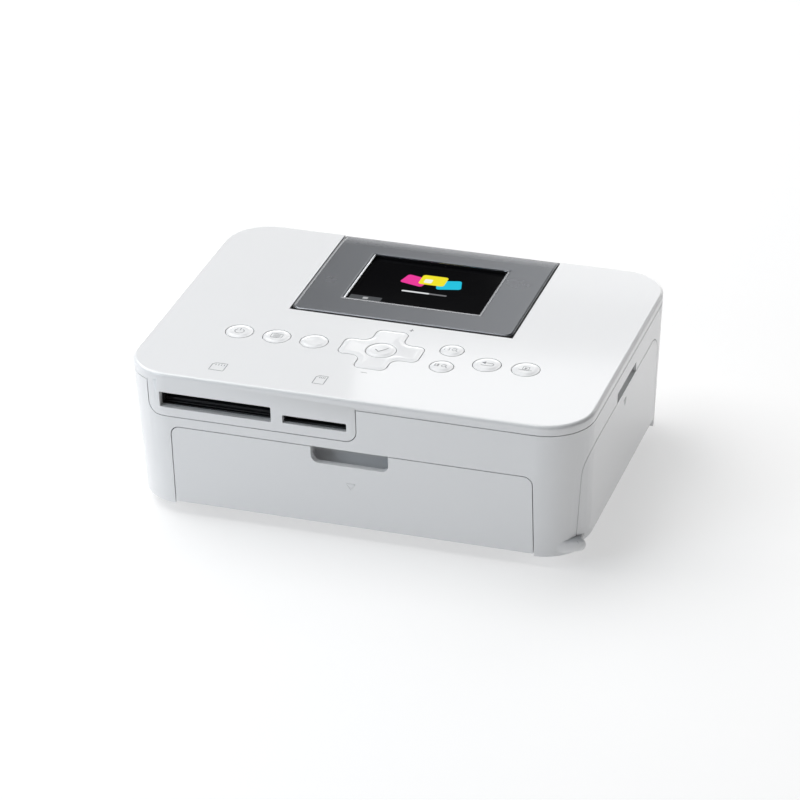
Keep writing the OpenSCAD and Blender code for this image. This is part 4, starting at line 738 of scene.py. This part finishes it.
def pad_rings():
    """Rings (1 - w) x plus + w x circle at each level, then the hole's lip and its wall down to the foot."""
    rings = []
    for grow, z, w in pad_levels():
        outer = pad_outline(grow)
        angle = np.arctan2(outer[:, 1], outer[:, 0])
        hole = (OK_HOLE + HOLE_EDGE) * np.stack([np.cos(angle), np.sin(angle)], -1) + OK_SHIFT
        rings.append(np.column_stack([outer * (1 - w) + hole * w + PAD_AT, np.full(len(outer), z)]))
    lip = rings[-1].copy()
    middle = PAD_AT + OK_SHIFT
    lip[:, :2] = (lip[:, :2] - middle) * (OK_HOLE / (OK_HOLE + HOLE_EDGE)) + middle
    lip[:, 2] -= HOLE_DROP
    foot = lip.copy()
    foot[:, 2] = FLANGE_FOOT
    return np.stack([foot] + rings + [lip], 0)


pad = pad_rings()
piece("four_way_pad_cap", pad, grid_faces(*pad.shape[:2], close_rows=True).tolist(), FINISH["white_keys"],
      BODY["four_way_pad"], ("four_way_pad",))
print("pad of", pad.shape[0] * pad.shape[1], "points")

# %% [markdown]
# ## Outlines on the display
# The panel carries a thin grey plate that runs flat from the front and bends down over its last centimetre,
# where it mirrors the back of the room. The bend could be a bent box, but its edge, a bevel, a rim and a
# window frame all have to follow it. So every edge is one kind of outline, with the same number of points
# on each side, laid at a height above the bent face. The front corners are arcs.

# %% Outlines on the display
PANEL_X, PANEL_Y0, PANEL_Y1, PANEL_CORNER = 43.5, -1.3, 64.5, 2.5
PANEL_TOP, BEND_AT, BEND_RUN, BEND_DROP = 60.3, 54.39, 10, 0.65
WINDOW_X, WINDOW_Y0, WINDOW_Y1, WINDOW_CORNER = 27.0, 12.1, 51.1, 0.05


def bent(y):
    """Height of the panel's face at a depth y: top - drop x (way past the bend / run)^2."""
    return PANEL_TOP - BEND_DROP * (np.clip(y - BEND_AT, 0, None) / BEND_RUN) ** 2


def frame_outline(hx, y0, y1, corner, n=24, m=6):
    """Front, right, back and left side of a rectangle; its two front corners are arcs of the given radius."""
    u = np.linspace(0, 1, n, endpoint=False)
    a = np.linspace(-math.pi / 2, 0, m, endpoint=False)
    c = corner
    front = np.column_stack([-hx + c + (2 * hx - 2 * c) * u, np.full(n, y0)])
    arc_r = np.column_stack([hx - c + c * np.cos(a), y0 + c + c * np.sin(a)])
    side = np.column_stack([np.full(n, hx), y0 + c + (y1 - y0 - c) * u])
    back_side = np.column_stack([hx - 2 * hx * u, np.full(n, y1)])
    left = side[::-1] * [-1, 1] + [0, (y1 - y0 - c) / n]
    arc_l = np.column_stack([-hx + c - c * np.cos(a), y0 + c + c * np.sin(a)])[::-1]
    return np.vstack([front, arc_r, side, back_side, left, arc_l])


def outer_edge(grow, lift, sides=None):
    """Outline of the plate grown by a width (another one at its sides), at a lift above the panel's face."""
    half = PANEL_X + (grow if sides is None else sides)
    p = frame_outline(half, PANEL_Y0 - grow, PANEL_Y1 + grow, PANEL_CORNER + grow)
    return np.column_stack([p, bent(p[:, 1]) + lift])


def window_edge(grow, z, rest=None):
    """Outline of the window at height z, grown by a width on its left and by the rest on its other sides."""
    rest = grow if rest is None else rest
    p = frame_outline(WINDOW_X + (grow + rest) / 2, WINDOW_Y0 - rest, WINDOW_Y1 + rest, WINDOW_CORNER)
    return np.column_stack([p + [(rest - grow) / 2, 0], np.full(len(p), z)])


print("outlines of", len(outer_edge(0, 0)), "points")

# %% [markdown]
# ## Face of the display
# Four pieces close the panel's top: the grey plate, a bevel along its front edge that catches the light, a
# dark rim between it and the cover, and a bright frame whose left side slopes down to the glass. Each could
# be a box with a hole cut in it, but cuts leave ragged edges on a bent face. Here each is a section of a
# few outlines joined into a closed band.

# %% Face of the display
FACE_LIFT, FACE_EDGE, FACE_SIDE = 0.5, -0.15, -0.04
FRAME_LEFT, FRAME_REST = 0.35, -0.04
# Growth, lift and, where it differs, growth at the sides
BEVEL_SECTION = [(-0.25, 0.2), (-0.02, 0.2), (-0.02, 0.38), (-0.14, 0.5, -0.03), (-0.25, 0.49)]
RIM_SECTION = [(0.25, -0.9), (0.25, 0.3), (0.2, 0.34), (-0.3, 0.34), (-0.3, -0.9)]
# Growth on the left, height and, where it differs, growth on the other sides
FRAME_SECTION = [(0.4, 60.2), (0.4, 60.74), (0.37, 60.77, -0.02), (-0.1, 60.36, -0.05), (-0.1, 59.32, -0.05),
                 (0.4, 59.32)]


def band(name, rings, material):
    """A closed band through the outlines, riding on the display panel."""
    pts = np.vstack(rings)
    faces = outward(pts, grid_faces(len(rings), len(rings[0]), close_rows=True).tolist())
    return piece(name, pts, faces, material, BODY["lcd_panel"])


def across(w):
    """An outline (1 - w) x edge of the plate + w x edge of the window, lifted above the bent face."""
    edge, window = outer_edge(FACE_EDGE, 0, FACE_SIDE)[:, :2], window_edge(FRAME_LEFT, 0, FRAME_REST)[:, :2]
    p = edge * (1 - w) + window * w
    return np.column_stack([p, bent(p[:, 1]) + FACE_LIFT])


face = [outer_edge(-0.2, -0.1)] + [across(w) for w in np.linspace(0, 1, 15)]
face.append(window_edge(FRAME_LEFT, 60.2, FRAME_REST))
band("panel_face", face, FINISH["panel_grey"])
band("panel_bevel", [outer_edge(*row) for row in BEVEL_SECTION], BEVEL)
band("panel_rim", [outer_edge(*row) for row in RIM_SECTION], FINISH["black_plastic"])
band("screen_trim", [window_edge(*row) for row in FRAME_SECTION], TRIM)
print("face, bevel, rim and window frame of the display")

# %% [markdown]
# ## Paths
# Every sign is made of straight runs, arcs and rectangles with round corners. Blender's curves could draw
# them, but a curve is flat and the keys are hollow. So a path is a plain row of points in the plane,
# divided finely enough to follow a curved face once it is laid there.

# %% Paths


def arc(centre, r, a0, a1, n=40):
    """Points centre + r (cos a, sin a) between two angles in degrees."""
    a = np.radians(np.linspace(a0, a1, n))
    return np.stack([centre[0] + r * np.cos(a), centre[1] + r * np.sin(a)], -1)


def line(*points, n=6):
    """Straight runs through the points, divided so that a stroke follows a curved face."""
    p = np.asarray(points, float)
    t = np.linspace(0, 1, n, endpoint=False)[:, None]
    runs = [a + (b - a) * t for a, b in zip(p[:-1], p[1:])]
    return np.vstack(runs + [p[-1:]])


def box_path(u0, v0, u1, v1, r=0.3):
    """A rectangle with round corners, as one closed path."""
    corners = [(u1 - r, v0 + r, -90), (u1 - r, v1 - r, 0), (u0 + r, v1 - r, 90), (u0 + r, v0 + r, 180)]
    return np.vstack([arc((u, v), r, a, a + 90, 6) for u, v, a in corners])


print("paths: arc, line and box")

# %% [markdown]
# ## Strokes and fills
# The signs on the keys are printed with a thin film of ink. They could be images on the surface, but small
# ones blur, so each is drawn as a thin closed stroke: a path widened to both sides, or a filled outline.
# The drawing is flat, and a place function lays it on the key's bowl, the flat top or a leaning wall. Ink
# stands a hair proud, and moulded signs stand out more.

# %% Strokes and fills
INK, SUNK, MOULDED = 0.015, -0.03, 0.12


def stroke(path, width, place, high=INK, closed=False):
    """A path of (u, v) widened by half the width along its normal to each side, as a closed ribbon."""
    p = np.asarray(path, float)
    tangent = np.roll(p, -1, 0) - np.roll(p, 1, 0) if closed else np.gradient(p, axis=0)
    tangent /= np.linalg.norm(tangent, axis=1, keepdims=True)
    normal = np.stack([-tangent[:, 1], tangent[:, 0]], -1)
    one, other = p + normal * width / 2, p - normal * width / 2
    corners = [place(one, SUNK), place(one, high), place(other, high), place(other, SUNK)]
    pts = np.stack(corners, 1).reshape(-1, 3)
    faces = grid_faces(len(p), 4, close_rows=closed).tolist()
    if not closed:
        faces += [[0, 1, 2, 3], [len(pts) - 1, len(pts) - 2, len(pts) - 3, len(pts) - 4]]
    return pts, outward(pts, faces)


def filled(outline, place):
    """A filled outline of (u, v): two fans about its middle and a wall between them."""
    p = np.asarray(outline, float)
    n, mid = len(p), p.mean(0, keepdims=True)
    pts = np.vstack([place(p, SUNK), place(p, INK), place(mid, SUNK), place(mid, INK)])
    i = np.arange(n)
    j = (i + 1) % n
    faces = np.stack([i, j, n + j, n + i], -1).tolist()
    faces += np.stack([np.full(n, 2 * n), j, i], -1).tolist()
    faces += np.stack([np.full(n, 2 * n + 1), n + i, n + j], -1).tolist()
    return pts, outward(pts, faces)


def symbol(name, parts, material, body):
    """Several strokes and fills as one piece."""
    pts, faces, start = [], [], 0
    for p, f in parts:
        faces += [[k + start for k in q] for q in f]
        pts.append(p)
        start += len(p)
    return piece(name, np.vstack(pts), faces, material, body)


print("ink stands", INK, "mm proud")

# %% [markdown]
# ## Signs on the keys
# Each key tells what it does by a plain sign: a ring with a bar for power, a sheet of lines for the menu, a
# frame or four tiles beside a magnifier for near and far, a hooked arrow for back, a screen on a foot for
# print, and a tick in the middle. They are a few paths each, in millimetres from the key's middle.

# %% Signs on the keys
TICK, HANDLE, BOLD, THIN, FINEST = 0.42, 0.34, 0.3, 0.24, 0.22


def on_key(name):
    """A place function: (u, v) from the key's middle, at the key's own height plus h."""
    at, hole, _ = KEYS[name]

    def place(p, h):
        top = key_height(hole / 2 - PLAY, np.hypot(p[:, 0], p[:, 1]))
        return np.column_stack([at[0] + p[:, 0], at[1] + p[:, 1], top + h])
    return place


def key_sign(name, key, parts):
    """A printed sign that moves with its key."""
    return symbol(name, parts, PRINT, BODY[key])


def magnifier(place, u, v):
    """A ring at (u, v) with a thick handle down to the right."""
    return [stroke(arc((u, v), 0.85, 0, 351, 40), THIN, place, closed=True),
            stroke(line((u + 0.62, v - 0.62), (u + 1.5, v - 1.5)), HANDLE, place)]


k = on_key("power_button")
key_sign("power_mark", "power_button", [stroke(arc((0, -0.1), 1.75, 125, 415), BOLD, k),
                                        stroke(line((0, 0.5), (0, 2.1)), BOLD, k)])
k = on_key("menu_button")
key_sign("menu_mark", "menu_button", [stroke(box_path(-2.2, -1.5, 2.2, 1.5), THIN, k, closed=True)]
         + [stroke(line((-1.5, v), (1.5, v)), THIN, k) for v in (-0.7, 0, 0.7)])
k = on_key("zoom_in_button")
frame_sign = stroke(box_path(-2.9, -0.5, -1.1, 1.2, 0.2), FINEST, k, closed=True)
key_sign("zoom_in_mark", "zoom_in_button", [frame_sign] + magnifier(k, 0.8, 0.4))
k = on_key("zoom_out_button")
four = [filled(box_path(u, v, u + 0.75, v + 0.75, 0.12), k) for u in (-2.9, -1.85) for v in (-0.5, 0.55)]
key_sign("zoom_out_mark", "zoom_out_button", four + magnifier(k, 0.8, 0.4))
k = on_key("back_button")
hook = np.vstack([line((-0.9, 1.0), (1.6, 1.0)), arc((1.6, 0), 1.0, 85, -85, 16),
                  line((1.6, -1.0), (-2.0, -1.0))])
head = filled([(-0.7, 1.9), (-2.3, 1.0), (-0.7, 0.1)], k)
key_sign("back_mark", "back_button", [stroke(hook, BOLD, k), head])
k = on_key("print_button")
key_sign("print_mark", "print_button", [stroke(line((-2.6, -1.0), (2.6, -1.0)), BOLD, k),
                                        stroke(box_path(-1.2, -0.5, 1.2, 1.6, 0.2), THIN, k, closed=True),
                                        filled([(-0.5, 1.1), (-0.5, -0.1), (0.6, 0.5)], k)])
k = on_key("ok_button")
key_sign("ok_mark", "ok_button", [stroke(line((-2.2, 0.1), (-0.7, -1.5), (2.3, 1.7), n=10), TICK, k)])

# %% [markdown]
# ## Marks on the cover and the doors
# The cover shows a plus and a minus by the pad, and over each card slot the outline of its card with four
# contacts. Each door has a small raised arrow that points down, the way it opens. The walls lean inward
# toward the table, so the arrows could be set on a copy of the wall; a formula for the lean does the same
# in one line.

# %% Marks on the cover and the doors
FRONT_Y, FRONT_LEAN, SIDE_X, SIDE_LEAN = -65.5, 3.1, 89, 2.3
# Near left corner, width and depth of each card drawn on the cover
CARD_SIGNS = [((-16.4, -56.6), 4.3, 6.2), ((-56.6, -57.0), 5.6, 5.6)]
CARD_CUT, CONTACT_FOOT, CONTACT_HEAD, FIRST_CONTACT, LAST_CONTACT = 1.1, 1.9, 0.8, 1.4, 0.9
SIGN_LINE = 0.36


def front_y(z):
    """The front wall at a height: its place at the top, less the lean x (1 - z / height)."""
    return FRONT_Y + FRONT_LEAN * (1 - z / COVER_TOP)


def side_x(z):
    """The right wall at a height, with its own lean."""
    return SIDE_X - SIDE_LEAN * (1 - z / COVER_TOP)


def on_top(p, h):
    """(x, y) on the flat cover."""
    return np.column_stack([p[:, 0], p[:, 1], np.full(len(p), COVER_TOP + h)])


def on_front(at):
    """(u, v) as x and height on the front wall."""
    return lambda p, h: np.column_stack([at[0] + p[:, 0], front_y(at[1] + p[:, 1]) - h, at[1] + p[:, 1]])


def on_side(at):
    """(u, v) as y and height on the right wall."""
    return lambda p, h: np.column_stack([side_x(at[1] + p[:, 1]) + h, at[0] + p[:, 0], at[1] + p[:, 1]])


def card_sign(corner, w, d):
    """A card with a cut corner, and four contacts evenly spaced along its far edge."""
    x, y = corner
    far = y + d
    card = line((x, y), (x + w, y), (x + w, far), (x + CARD_CUT, far), (x, far - CARD_CUT), (x, y), n=4)[:-1]
    columns = np.linspace(x + FIRST_CONTACT, x + w - LAST_CONTACT, 4)
    contacts = [line((u, far - CONTACT_FOOT), (u, far - CONTACT_HEAD)) for u in columns]
    return [stroke(card, HANDLE, on_top, closed=True)] + [stroke(c, BOLD, on_top) for c in contacts]


plus = [stroke(line((5.2, -6.6), (6.9, -6.6)), SIGN_LINE, on_top),
        stroke(line((6.05, -5.5), (6.05, -7.7)), SIGN_LINE, on_top)]
minus = [stroke(line((-1.9, -43.6), (0.6, -43.6)), BOLD, on_top)]
marks = plus + minus
for row in CARD_SIGNS:
    marks += card_sign(*row)
symbol("top_marks", marks, PRINT, "housing")

arrow = line((-1.7, 1.3), (1.7, 1.3), (0, -1.3), (-1.7, 1.3))[:-1]
ARROWS = [("door_arrow", "front_door", on_front((0, 23.0))),
          ("ink_door_arrow", "ink_door", on_side((-3.8, 41.0)))]
for name, door, place in ARROWS:
    raised = stroke(arrow, HANDLE, place, high=MOULDED, closed=True)
    symbol(name, [raised], FINISH["white_shell"], door)
print(len(marks), "strokes on the cover and two arrows")

# %% [markdown]
# ## Card mouths
# Behind the white lip of each card slot the mouth lies in shade, and that shade is painted: a thin black
# sleeve lines the inner end of the mouth. Painting the inside of the cover black would need a sharp line in a
# material, so the sleeve is a piece. Its section is the mouth's own rectangle, carried inwards and back along
# its outer side.

# %% Card mouths
SLEEVE_WALL = 0.12
# Left, right, lower and upper side of the mouth, and how far behind the front wall the sleeve starts and ends
MOUTHS = [(-73.58, -29.92, 46.32, 52.58, 2.9, 4.7), (-25.38, -0.72, 46.72, 49.98, 1.7, 4.7)]


def shade_sleeve(x0, x1, z0, z1, start, end):
    """Rectangle rings at y = front wall + depth, inside by the wall, then back on the outside."""
    rings = []
    for depth, t in ((start, 0.0), (start, SLEEVE_WALL), (end, SLEEVE_WALL), (end, 0.0)):
        x = np.array([x0 + t, x1 - t, x1 - t, x0 + t])
        z = np.array([z0 + t, z0 + t, z1 - t, z1 - t])
        rings.append(np.column_stack([x, front_y(z) + depth, z]))
    pts = np.vstack(rings)
    return pts, outward(pts, grid_faces(4, 4, close_rows=True).tolist())


# Painted shade: black sleeves line the inner end of each card mouth, where the cover's white walls lie in
# shade.
shade_sleeves = [shade_sleeve(*mouth) for mouth in MOUTHS]
symbol("card_mouth_shade", shade_sleeves, FINISH["black_plastic"], "housing")
print(len(MOUTHS), "card sleeves")

# %% [markdown]
# ## Size and end
# The outer box is printed again, now with all the pieces, so that it can be set beside the CAD's own.

# %% Size and end
print(save_size())
